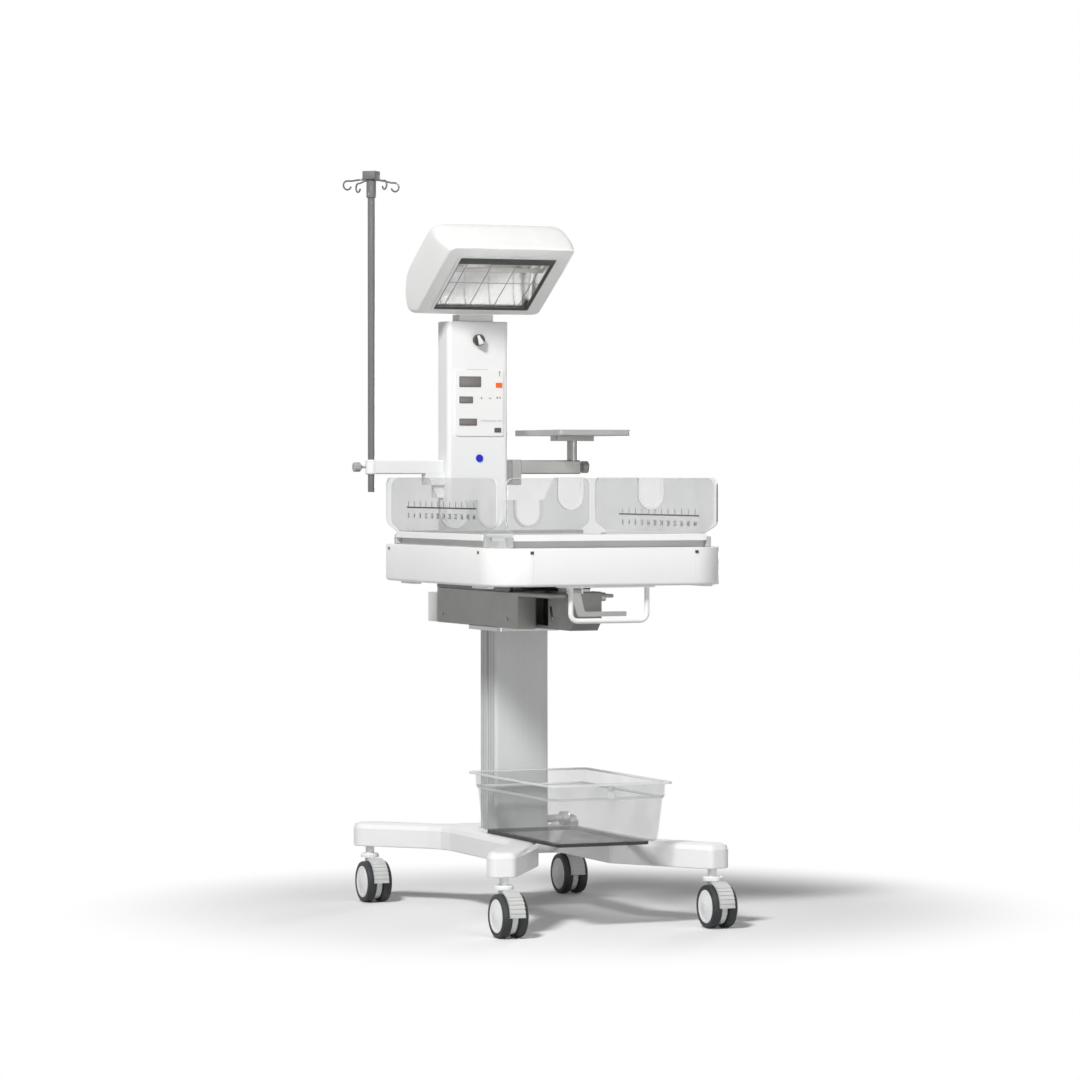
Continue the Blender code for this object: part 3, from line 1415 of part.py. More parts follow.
def build_heater(finishes, swivel):
    """The reflector trough, the heater tube in it and the wire grille under them."""
    length = window_high_along - window_low_along - 2 * seat_gap
    half = window_half_width - seat_gap
    low = window_low_along + seat_gap
    edge = gasket_corner + grille_wire_radius * 2
    first, *others = (-half + edge, *grille_wire_xs, half - edge)
    grille = hood_rod("wire_grille", grille_wire_radius, length, first, low, grille_height, "-Y")
    for x in others:
        add_on(grille, hood_rod("long_wire", grille_wire_radius, length, x, low, grille_height, "-Y"))
    middle = (window_low_along + window_high_along) / 2
    for along in (low + edge, middle, low + length - edge):
        add_on(grille, hood_rod("cross_wire", grille_wire_radius, 2 * half, -half, along,
                                grille_height - grille_drop, "X"))
    complete(grille, finishes["steel"], swivel)

    base = hood_lip + seat_gap
    middle = (reflector_low_along + reflector_high_along) / 2
    half = (reflector_high_along - reflector_low_along) / 2
    turn = hood_turn @ plane_turns["YZ"]
    trough = plate("reflector", [parabola(middle, half, base, base, reflector_depth)],
                   2 * reflector_half_width, on_hood(0.0), turn=turn)
    wall = reflector_wall
    hollow = plate("reflector_hollow",
                   [parabola(middle, half - wall, base - cut_overrun, base, reflector_depth - wall)],
                   2 * (reflector_half_width - wall), on_hood(0.0), turn=turn)
    bore = hood_rod("tube_bore", tube_radius + shaft_clearance,
                    2 * (reflector_half_width + cut_overrun), -reflector_half_width - cut_overrun,
                    middle, base + tube_height, "X")
    cut_away(trough, hollow, bore)
    complete(trough, finishes["chrome"], swivel)

    reach = reflector_half_width + tube_overhang
    heater = hood_rod("heater_tube", tube_radius, 2 * reach, -reach, middle, base + tube_height, "X")
    complete(heater, finishes["quartz"], swivel)


def parabola(middle, half, foot, base, depth):
    """A closed outline under a parabolic arch, in the hood's frame."""
    points = [(-(middle - half), foot)]
    for step in range(reflector_steps + 1):
        share = 2 * step / reflector_steps - 1
        points.append((-(middle + half * share), base + depth * (1 - share * share)))
    points.append((-(middle + half), foot))
    if abs(foot - base) < weld_distance:
        return points[1:-1]
    return points


# Side arms
def build_pole_arm(finishes, lift):
    """The left arm, the drip pole that slides in it with its hooks, and its clamp knob."""
    y = upper_centre_y
    depth = side_arm_half_depth
    inner = -upper_half_width - seat_gap
    slim = depth - side_arm_step
    arm = box("pole_arm", (pole_x, y - slim, side_arm_low_z), (inner, y + slim, side_arm_high_z),
              side_arm_edge)
    height = side_arm_high_z - side_arm_low_z
    high = height + side_arm_step
    low = -side_arm_step
    add_on(arm, turned("pole_clamp",
                       [(0.0, high), (depth - side_arm_edge, high), (depth, high - side_arm_edge),
                        (depth, low + side_arm_edge), (depth - side_arm_edge, low), (0.0, low)],
                       (pole_x, y, side_arm_low_z)))
    half = clamp_half_depth
    add_on(arm, box("clamp_block", (clamp_block_left_x, y - half, clamp_block_low_z),
                    (inner, y + half, side_arm_low_z + side_arm_edge * 2)))
    add_on(arm, box("clamp_jaw", (clamp_jaw_left_x, y - half / 2, clamp_jaw_low_z),
                    (inner, y + half / 2, clamp_block_low_z + side_arm_edge)))
    pole_bore = rod("pole_bore", pole_radius + shaft_clearance, height + 2 * cut_overrun,
                    (pole_x, y, side_arm_low_z - cut_overrun))
    knob_bore = rod("knob_bore", side_knob_shaft_radius + shaft_clearance, depth + cut_overrun,
                    (pole_x, y, side_arm_centre_z), "-X", steps=12)
    cut_away(arm, pole_bore, knob_bore)
    complete(arm, finishes["white"], lift)

    slide = make_empty("pole_axis", (pole_x, y, side_arm_centre_z), lift)
    top = pole_top + head_height
    edge = side_arm_edge
    profile = [(0.0, top), (head_radius - edge, top), (head_radius, top - edge),
               (head_radius, pole_top), (sleeve_radius, pole_top),
               (sleeve_radius, pole_top - sleeve_height), (pole_radius, pole_top - sleeve_height),
               (pole_radius, pole_foot), (0.0, pole_foot)]
    pole = turned("drip_pole", profile, (pole_x, y, 0.0), steps=16)
    level = pole_top - hook_drop
    curl = hook_curl_radius
    path = [(pole_radius / 2, 0.0, level + hook_rise), (hook_reach - 2 * curl, 0.0, level)]
    for angle in arc(curl, -pi / 2, radians(70), (hook_reach - curl, level + curl)):
        path.append((angle[0], 0.0, angle[1]))
    for quarter in range(4):
        hook = tube("hook", path, hook_wire_radius, (pole_x, y, 0.0),
                    Matrix.Rotation(quarter * pi / 2, 4, "Z"))
        add_on(pole, as_mesh(hook))
    complete(pole, finishes["steel"], slide, smooth=True)

    face = pole_x - depth - seat_gap
    shaft = depth - pole_radius - 2 * seat_gap
    side_knob("pole_knob", (face, y, side_arm_centre_z), "-X", side_knob_radius, side_knob_length,
              side_knob_neck_length, shaft, finishes["dark"], lift)


def side_knob(name, place, axis, radius, length, neck, shaft, finish, parent):
    """A clamp knob with a short neck and a screw shaft that presses on its post."""
    hinge = make_empty(name + "_axis", place, parent)
    thin = side_knob_shaft_radius
    profile = [(0.0, neck + length), (radius - knob_edge, neck + length),
               (radius, neck + length - knob_edge), (radius, neck + knob_edge),
               (radius - knob_edge, neck), (radius / 2, neck), (radius / 2, 0.0), (thin, 0.0),
               (thin, -shaft), (0.0, -shaft)]
    knob = turned(name, profile, place, axis, steps=16)
    complete(knob, finish, hinge, smooth=True)


def build_shelf(finishes, lift):
    """The right arm, the swivelling shelf on its post, and the shelf's clamp knob."""
    y = upper_centre_y
    depth = side_arm_half_depth
    inner = upper_half_width + seat_gap
    arm = box("shelf_arm", (shelf_block_left_x + side_arm_edge, y - depth, side_arm_low_z),
              (shelf_arm_end_x, y + depth, side_arm_high_z), side_arm_edge)
    add_on(arm, box("shelf_clamp", (shelf_block_left_x, y - depth - side_arm_edge, clamp_block_low_z),
                    (shelf_block_right_x, y + depth + side_arm_edge,
                     side_arm_high_z + side_arm_edge / 2), side_arm_edge / 2))
    add_on(arm, box("shelf_foot", (inner, y - clamp_half_depth, clamp_block_low_z + side_arm_edge * 2),
                    (shelf_block_left_x + side_arm_edge, y + clamp_half_depth,
                     side_arm_high_z - side_arm_edge * 2)))
    post_bore = rod("post_bore", shelf_post_radius + shaft_clearance,
                    side_arm_high_z - shelf_post_foot + seat_gap + cut_overrun,
                    (shelf_post_x, y, shelf_post_foot - seat_gap))
    knob_bore = rod("knob_bore", side_knob_shaft_radius + shaft_clearance,
                    shelf_arm_end_x - shelf_post_x + cut_overrun,
                    (shelf_post_x, y, side_arm_centre_z), "X", steps=12)
    cut_away(arm, post_bore, knob_bore)
    complete(arm, finishes["grey"], lift)

    swivel = make_empty("shelf_axis", (shelf_post_x, y, side_arm_high_z), lift)
    top = shelf_underside - seat_gap
    head = rectangle(shelf_plate_half_length, shelf_plate_half_depth, shelf_corner / 2,
                     (shelf_post_x, y))
    slot_x = shelf_plate_half_length - plate_slot_length
    loops = [head]
    for side in (-1, 1):
        loops.append(rectangle(plate_slot_length / 2, plate_slot_width / 2, plate_slot_width / 3,
                               (shelf_post_x + side * slot_x, y)))
    thick = top - shelf_plate_low_z
    post = plate("shelf_post", loops, thick, (0.0, 0.0, shelf_plate_low_z + thick / 2))
    add_on(post, rod("post_rod", shelf_post_radius, shelf_plate_low_z + thick / 2 - shelf_post_foot,
                     (shelf_post_x, y, shelf_post_foot)))
    complete(post, finishes["steel"], swivel)

    high = shelf_underside + shelf_height
    x, z = shelf_half_width, shelf_half_depth
    lip, corner = shelf_lip, shelf_corner
    sections = [(shelf_underside, x - lip / 2, z - lip / 2, corner - lip / 2, 0.0),
                (shelf_underside + lip / 2, x, z, corner, 0.0),
                (high - lip / 4, x, z, corner, 0.0),
                (high, x - lip / 4, z - lip / 4, corner - lip / 4, 0.0),
                (high, x - lip, z - lip, corner - lip, 0.0),
                (shelf_underside + shelf_floor, x - lip, z - lip, corner - lip, 0.0)]
    shelf = loft("shelf", sections, (shelf_post_x, y, 0.0))
    complete(shelf, finishes["grey"], swivel, smooth=True)

    shaft = shelf_arm_end_x - shelf_post_x - shelf_post_radius - seat_gap
    side_knob("shelf_knob", (shelf_arm_end_x + seat_gap, y, side_arm_centre_z), "X",
              shelf_knob_radius, shelf_knob_length, shelf_knob_neck, shaft, finishes["dark"], lift)


# Storage bin
def build_bin(finishes, root):
    low = base_top + seat_gap + rail_height + seat_gap
    wall = bin_wall
    step = bin_shoulder_step
    edge = bin_floor_edge
    floor_x, floor_y = bin_floor_half_width, bin_floor_half_length
    rim_x, rim_y = bin_rim_half_width, bin_rim_half_length
    wall_x, wall_y = rim_x - bin_rim_width, rim_y - bin_rim_width
    shoulder = bin_shoulder_z
    under = bin_rim_top - bin_rim_thickness
    corner = bin_corner
    drop = shoulder - 2 * step
    rows = [(low, floor_x - edge, floor_y - edge), (low + edge, floor_x, floor_y),
            (drop, wall_x - step - wall, wall_y - step - wall), (shoulder, wall_x - wall / 2,
                                                                wall_y - wall / 2),
            (under, wall_x, wall_y), (under, rim_x, rim_y), (bin_rim_top, rim_x, rim_y),
            (bin_rim_top, wall_x - wall, wall_y - wall),
            (shoulder, wall_x - wall * 3 / 2, wall_y - wall * 3 / 2),
            (drop, wall_x - step - 2 * wall, wall_y - step - 2 * wall),
            (low + edge, floor_x - wall, floor_y - wall),
            (low + wall, floor_x - edge - wall, floor_y - edge - wall)]
    sections = [(z, x, y, corner - (rim_x - x) / 4, 0.0) for z, x, y in rows]
    slide = make_empty("bin_axis", (0.0, bin_centre_y, low), root)
    item = loft("storage_bin", sections, (0.0, bin_centre_y, 0.0))
    complete(item, finishes["clear"], slide, smooth=True)


def seat_on_origin(root):
    """Centre the warmer's footprint on the origin, on the ground."""
    graph = bpy.context.evaluated_depsgraph_get()
    spots = []
    for item in parts.objects:
        if item.type == "MESH":
            seen = item.evaluated_get(graph)
            spots += [seen.matrix_world @ Vector(corner) for corner in seen.bound_box]
    shift = [-(min(spot[axis] for spot in spots) + max(spot[axis] for spot in spots)) / 2
             for axis in (0, 1)]
    root.location = (*shift, 0.0)
    bpy.context.view_layer.update()


def build_warmer():
    clear_scene()
    finishes = {name: make_material(name, *values) for name, values in finish_table.items()}
    root = make_empty("infant_radiant_warmer", (0.0, 0.0, 0.0))
    build_base(finishes, root)
    for end, stem_y in (("front", stem_front_y), ("rear", stem_rear_y)):
        for hand, side in (("left", -1), ("right", 1)):
            build_castor(end + "_" + hand, side, stem_y, finishes, root)
    build_bin(finishes, root)
    lift = build_column(finishes, root)
    build_support_arm(finishes, lift)
    tilt = make_empty("tilt_axis", (0.0, pivot_y, pivot_z), lift)
    build_bed(finishes, tilt)
    build_panels(finishes, tilt)
    build_handle(finishes, tilt)
    build_upper_column(finishes, lift)
    build_hood(finishes, lift)
    build_pole_arm(finishes, lift)
    build_shelf(finishes, lift)

    seat_on_origin(root)


build_warmer()
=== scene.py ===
# %% [markdown]
# # An infant radiant warmer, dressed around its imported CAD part
#
# The real device is a small bed under a heater, on a lifting column with four castors.
# The CAD part is loaded first and never moved. It has the right sizes and the right moving
# bodies, so every piece made here takes its place from it. Flat, crisp pieces keep their CAD
# form and only get a finish. Round, soft and small pieces are modelled again, finer.

# %% Load the part
from math import acos, atan2, cos, pi, radians, sin, tan

import bmesh
import bpy
from mathutils import Matrix, Vector


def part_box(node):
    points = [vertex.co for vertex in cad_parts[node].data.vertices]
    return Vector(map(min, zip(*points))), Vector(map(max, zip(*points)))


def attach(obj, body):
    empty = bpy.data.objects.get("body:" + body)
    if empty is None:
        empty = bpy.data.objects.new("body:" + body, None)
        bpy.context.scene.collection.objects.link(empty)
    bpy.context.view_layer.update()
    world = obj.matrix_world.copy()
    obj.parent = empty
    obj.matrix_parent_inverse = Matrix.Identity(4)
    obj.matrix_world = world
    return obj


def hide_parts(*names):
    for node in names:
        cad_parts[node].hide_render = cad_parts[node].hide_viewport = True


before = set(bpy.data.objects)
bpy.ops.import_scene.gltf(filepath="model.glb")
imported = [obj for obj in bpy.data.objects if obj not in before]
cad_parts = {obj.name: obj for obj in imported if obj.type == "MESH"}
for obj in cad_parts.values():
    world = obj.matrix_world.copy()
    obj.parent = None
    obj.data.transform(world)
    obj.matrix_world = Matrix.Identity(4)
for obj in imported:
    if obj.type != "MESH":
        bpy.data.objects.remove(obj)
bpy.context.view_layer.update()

# %% [markdown]
# ## A reference point
# The part's record centres its footprint on the origin. The sizes below are easier to read
# from the middle of the base, halfway between the castors, so one offset turns those into
# the part's own frame. It is read from the pieces themselves, not typed.

# %% The middle of the base
chassis_low, chassis_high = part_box("base_chassis")
front_wheel_low, front_wheel_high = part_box("castor_wheels_front_left")
front_castor_y, castor_trail = -0.430, 0.027
middle_x = (chassis_low[0] + chassis_high[0]) / 2
middle_y = (front_wheel_low[1] + front_wheel_high[1]) / 2 - front_castor_y + castor_trail
middle = Vector((middle_x, middle_y, 0.0))


def spot(x, y, z):
    """A point given from the middle of the base, in the part's frame."""
    return Vector((x, y, z)) + middle


print("middle of the base", [round(value, 4) for value in middle])

# %% [markdown]
# ## Camera
# The photograph was taken from the left of the bed's foot, level with the bed and from far
# away, which keeps upright edges parallel. A long lens on a camera ten metres away gives
# the same view. The camera looks along its own minus Z axis, so a direction is turned into
# a rotation with to_track_quat.

# %% Camera
view_turn, view_drop = radians(23.26), radians(0.99)
camera_place = (-4.1485, -9.6497, 1.1387)
picture_width, focal_pixels = 1080, 4114.8
sensor_width, view_end = 36.0, 80.0
look = Vector((sin(view_turn) * cos(view_drop), cos(view_turn) * cos(view_drop),
               -sin(view_drop)))
bpy.ops.object.select_all(action="DESELECT")
bpy.ops.object.camera_add(location=spot(*camera_place))
camera = bpy.context.object
camera.name = "camera"
camera.rotation_mode = "QUATERNION"
camera.rotation_quaternion = look.to_track_quat("-Z", "Y")
camera.data.sensor_width = sensor_width
camera.data.lens = focal_pixels / picture_width * sensor_width
camera.data.clip_end = view_end
bpy.context.scene.camera = camera
bpy.context.scene.view_settings.view_transform = "Standard"
print("lens", round(camera.data.lens, 1), "mm")

# %% [markdown]
# ## Working by hand, in code
# In the editor a piece is started from a primitive and shaped by selecting and pulling.
# These few helpers do the same: one picks faces or corners by where they are, one
# bakes a piece's place into its mesh, one applies a modifier, and one rounds the edges.

# %% Picking and finishing helpers
bevel_steps = 3
smooth_angle, bevel_angle = radians(32), radians(40)
same_spot, merge_distance = 1e-6, 0.00001
origin = (0.0, 0.0, 0.0)


def clear_selection():
    """Leave edit mode with nothing selected, ready for a new primitive."""
    if bpy.context.mode != "OBJECT":
        bpy.ops.object.mode_set(mode="OBJECT")
    bpy.ops.object.select_all(action="DESELECT")


def only(piece):
    """Make one piece the active and only selected object, in object mode."""
    clear_selection()
    piece.select_set(True)
    bpy.context.view_layer.objects.active = piece


def pick(piece, kind, test):
    """In edit mode, select the corners or faces that pass a test of their place."""
    if bpy.context.mode != "EDIT_MESH" or bpy.context.object != piece:
        only(piece)
        bpy.ops.object.mode_set(mode="EDIT")
    bpy.ops.mesh.select_mode(type=kind)
    bpy.ops.mesh.select_all(action="DESELECT")
    shape = bmesh.from_edit_mesh(piece.data)
    if kind == "VERT":
        chosen = [vert for vert in shape.verts if test(vert.co)]
    else:
        chosen = [face for face in shape.faces if test(face.calc_center_median(), face.normal)]
    for item in chosen:
        item.select_set(True)
    shape.select_flush_mode()
    bmesh.update_edit_mesh(piece.data)


def pull(z):
    """Extrude what is selected and move the new part up."""
    bpy.ops.mesh.extrude_region_move(TRANSFORM_OT_translate={"value": (0.0, 0.0, z)})


def bake_place():
    """Bake the selected piece's place, turn and size into its mesh."""
    bpy.ops.object.transform_apply(location=True, rotation=True, scale=True)


def settle(piece, turn=origin, place=origin):
    """Turn a piece from where it was drawn to its place and bake that into its mesh."""
    only(piece)
    piece.rotation_euler = turn
    piece.location = place
    bake_place()
    return piece


def face_outwards(piece, flat_angle=None):
    """Merge doubled corners, and flat neighbours if asked, and turn every face outwards."""
    only(piece)
    bpy.ops.object.mode_set(mode="EDIT")
    bpy.ops.mesh.select_all(action="SELECT")
    bpy.ops.mesh.remove_doubles(threshold=merge_distance)
    if flat_angle is not None:
        bpy.ops.mesh.dissolve_limited(angle_limit=flat_angle)
    bpy.ops.mesh.normals_make_consistent(inside=False)
    bpy.ops.object.mode_set(mode="OBJECT")
    return piece


def modify(piece, kind, **settings):
    """Add a modifier with its settings, and apply it."""
    only(piece)
    bpy.ops.object.modifier_add(type=kind)
    modifier = piece.modifiers[-1]
    for key, value in settings.items():
        setattr(modifier, key, value)
    bpy.ops.object.modifier_apply(modifier=modifier.name)
    return piece


def round_off(piece, width=0.0, steps=bevel_steps, angle=bevel_angle):
    """Round the sharp edges with a bevel, if it has a width, and shade the rest smooth."""
    if width:
        modify(piece, "BEVEL", width=width, segments=steps, limit_method="ANGLE",
               angle_limit=angle)
    only(piece)
    bpy.ops.object.shade_smooth_by_angle(angle=smooth_angle)
    return piece


def place_in(piece, matrix):
    """Bake any turn and place into a piece's mesh."""
    piece.data.transform(matrix)
    piece.data.update()
    return piece


def place_at(piece, place):
    """Move a piece in its mesh."""
    return place_in(piece, Matrix.Translation(place))


def turn_about(piece, centre, turn):
    """Turn or stretch a piece about a point, in its mesh."""
    place_in(piece, Matrix.Translation(centre) @ turn @ Matrix.Translation(-centre))


print("finishing helpers ready")

# %% [markdown]
# ## Starting shapes
# Most pieces start as one of three things: a box, a plate cut to an outline, or a round bar
# grown ring by ring. A plate's corners are moved to their places one by one and bevelled to
# their radius, as by hand, and its thickness is centred on its place. Finished parts are
# joined, copied or cut, then given their finish and the body that they move with.

# %% Starting shapes
plane_turn = {"XY": origin, "XZ": (pi / 2, 0.0, 0.0)}
axis_turn = {"X": (0.0, pi / 2, 0.0), "-X": (0.0, -pi / 2, 0.0), "-Y": (pi / 2, 0.0, 0.0),
             "Z": origin}


def named(piece, name):
    """Give a piece and its mesh one name."""
    piece.name = piece.data.name = name
    return piece


def block(name, low, high):
    """A box between two corners, to be shaped further."""
    clear_selection()
    low, high = Vector(low), Vector(high)
    bpy.ops.mesh.primitive_cube_add(size=1.0, location=(low + high) / 2)
    piece = named(bpy.context.object, name)
    piece.scale = high - low
    bake_place()
    return piece


def sheet_metal(name, corners, thickness, plane="XY", place=origin, steps=6):
    """A plate cut to an outline: each corner is (x, y, radius), then it gets its thickness."""
    clear_selection()
    count, aside = len(corners), 7.0
    bpy.ops.mesh.primitive_circle_add(vertices=count, radius=1.0, fill_type="NGON")
    piece = named(bpy.context.object, name)
    starts = [vert.co.copy() for vert in piece.data.vertices]
    for start, (x, y, radius) in zip(starts, corners):
        pick(piece, "VERT", lambda co: (co - start).length < same_spot)
        bpy.ops.transform.translate(value=Vector((x, y, aside)) - start)
    pick(piece, "VERT", lambda co: True)
    bpy.ops.transform.translate(value=(0.0, 0.0, -aside))
    for index, (x, y, radius) in enumerate(corners):
        if radius <= 0.0:
            continue
        here = Vector((x, y, 0.0))
        before = (Vector((*corners[index - 1][:2], 0.0)) - here).normalized()
        after = (Vector((*corners[(index + 1) % count][:2], 0.0)) - here).normalized()
        half = acos(max(-1.0, min(1.0, before.dot(after)))) / 2
        pick(piece, "VERT", lambda co: (co - here).length < same_spot)
        bpy.ops.mesh.bevel(offset=radius / tan(half), offset_type="OFFSET", segments=steps,
                           affect="VERTICES", clamp_overlap=True)
    pick(piece, "FACE", lambda centre, normal: True)
    if thickness:
        bpy.ops.transform.translate(value=(0.0, 0.0, -thickness / 2))
        pull(thickness)
        face_outwards(piece)
    return settle(piece, plane_turn[plane], place)


def oblong(half_x, half_y, radius, centre=(0.0, 0.0)):
    """The four corners of a rounded rectangle."""
    x, y = centre
    return [(x - half_x, y - half_y, radius), (x + half_x, y - half_y, radius),
            (x + half_x, y + half_y, radius), (x - half_x, y + half_y, radius)]


def lathe(name, rings, place=origin, axis="Z", sides=48):
    """A round piece grown ring by ring: each ring is (height, radius) above the place."""
    clear_selection()
    height, radius = rings[0]
    bpy.ops.mesh.primitive_circle_add(vertices=sides, radius=radius, fill_type="NGON")
    piece = named(bpy.context.object, name)
    pick(piece, "FACE", lambda centre, normal: True)
    bpy.ops.transform.translate(value=(0.0, 0.0, height))
    for next_height, next_radius in rings[1:]:
        pull(next_height - height)
        ratio = next_radius / radius
        bpy.ops.transform.resize(value=(ratio, ratio, 1.0),
                                 center_override=(0.0, 0.0, next_height))
        height, radius = next_height, next_radius
    face_outwards(piece)
    return settle(piece, axis_turn[axis], place)


def join(name, *pieces):
    """Join pieces of one part into a single object."""
    clear_selection()
    for piece in pieces:
        piece.select_set(True)
    bpy.context.view_layer.objects.active = pieces[0]
    bpy.ops.object.join()
    return named(pieces[0], name)


def carve(piece, tool):
    """Cut a shape out of a piece, and remove the cutter."""
    modify(piece, "BOOLEAN", operation="DIFFERENCE", solver="EXACT", object=tool)
    bpy.data.objects.remove(tool, do_unlink=True)


def copy_of(piece, name, move=origin):
    """A copy with its own mesh, moved in its mesh."""
    twin = piece.copy()
    twin.data = piece.data.copy()
    bpy.context.scene.collection.objects.link(named(twin, name))
    return settle(twin, place=move)


def coat(piece, *finishes):
    """Give a piece its finishes, in the order of its slots."""
    piece.data.materials.clear()
    for finish in finishes:
        piece.data.materials.append(finish)
    return piece


def fit(piece, finish, body, *stands_for):
    """Give a piece its finish and its body, and say which CAD nodes it stands for."""
    only(piece)
    if finish is not None:
        coat(piece, finish)
    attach(piece, body)
    if stands_for:
        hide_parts(*stands_for)
    print(piece.name, len(piece.data.polygons), "faces on", body)


print("starting shapes ready")

# %% [markdown]
# ## Growing a moulded shape
# Moulded covers and pans have round corners that change with the height. One face is
# extruded again and again, and after each step its corners move to the next outline. A
# wire is easier as a curve with a round bevel, made a mesh at the end.

# %% Growing a moulded shape
def outline_of(half_x, half_y, corner, centre_y, steps):
    """The points round a rounded rectangle, quarter by quarter."""
    points = []
    for sign_x, sign_y, start in ((-1, -1, pi), (1, -1, -pi / 2), (1, 1, 0.0), (-1, 1, pi / 2)):
        for step in range(steps + 1):
            angle = start + pi / 2 * step / steps
            points.append((sign_x * (half_x - corner) + corner * cos(angle),
                           sign_y * (half_y - corner) + corner * sin(angle) + centre_y))
    return points


def skin(name, sections, steps=3):
    """A shape grown by extrusion through sections (height, half_x, half_y, corner, centre_y)."""
    height, half_x, half_y, corner, centre_y = sections[0]
    piece = sheet_metal(name, oblong(half_x, half_y, corner, (0.0, centre_y)), 0.0, steps=steps)
    pick(piece, "FACE", lambda centre, normal: True)
    bpy.ops.transform.translate(value=(0.0, 0.0, height))
    for following in sections[1:]:
        pull(following[0] - height)
        shape = bmesh.from_edit_mesh(piece.data)
        ring = sorted((vert for vert in shape.verts if vert.select),
                      key=lambda vert: atan2(vert.co.y - centre_y, vert.co.x))
        height, centre_y = following[0], following[4]
        goals = sorted(outline_of(*following[1:], steps),
                       key=lambda goal: atan2(goal[1] - centre_y, goal[0]))
        for vert, goal in zip(ring, goals):
            vert.co.x, vert.co.y = goal
        bmesh.update_edit_mesh(piece.data)
    return face_outwards(piece)


def subdivide_smooth(piece, levels=2):
    """Round a coarse shape with a Subdivision Surface and apply it."""
    modify(piece, "SUBSURF", levels=levels, render_levels=levels)
    bpy.ops.object.shade_smooth()
    return piece


def bent_tube(name, points, radius, closed=False):
    """A round wire or tube through points, drawn as a curve and made a mesh."""
    clear_selection()
    curve = bpy.data.curves.new(name, "CURVE")
    curve.dimensions = "3D"
    curve.bevel_depth = radius
    curve.bevel_resolution = 2
    curve.use_fill_caps = True
    spline = curve.splines.new("POLY")
    spline.points.add(len(points) - 1)
    for item, place in zip(spline.points, points):
        item.co = (*place, 1.0)
    spline.use_cyclic_u = closed
    piece = bpy.data.objects.new(name, curve)
    bpy.context.scene.collection.objects.link(piece)
    only(piece)
    bpy.ops.object.convert(target="MESH")
    piece = named(bpy.context.object, name)
    return round_off(face_outwards(piece))


print("growing helpers ready")

# %% [markdown]
# ## Writing a material like a sum
# A finish is a Principled shader with small variations fed into it: where it is a little
# darker, duller or rougher. Dozens of nodes are needed, so a value in the node tree is
# wrapped in a class whose plus, minus and times add the Math nodes by themselves. A colour
# that drifts, a gloss that drifts and a fine bump are what nearly every finish shares.

# %% Signals and coats
def chip(red, green, blue):
    """A colour as a paint chip shows it, 0 to 255, turned into the linear light it sends."""
    def linear(value):
        share = value / 255
        return share / 12.92 if share <= 0.04045 else ((share + 0.055) / 1.055) ** 2.4
    return (linear(red), linear(green), linear(blue), 1.0)


class Signal:
    """One value in a material; arithmetic on it adds Math nodes."""

    def __init__(self, coat, socket):
        self.coat = coat
        self.socket = socket

    def maths(self, operation, first, second=0.0):
        """Add one Math node and give back its result."""
        return self.coat.add("ShaderNodeMath", {"operation": operation}, {0: first, 1: second})

    def __add__(self, other):
        return self.maths("ADD", self, other)

    def __rsub__(self, other):
        return self.maths("SUBTRACT", other, self)

    def __mul__(self, other):
        return self.maths("MULTIPLY", self, other)

    def __gt__(self, other):
        return self.maths("GREATER_THAN", self, other)

    def __abs__(self):
        return self.maths("ABSOLUTE", self)

    def sine(self):
        """A wave; its argument is in radians."""
        return self.maths("SINE", self)


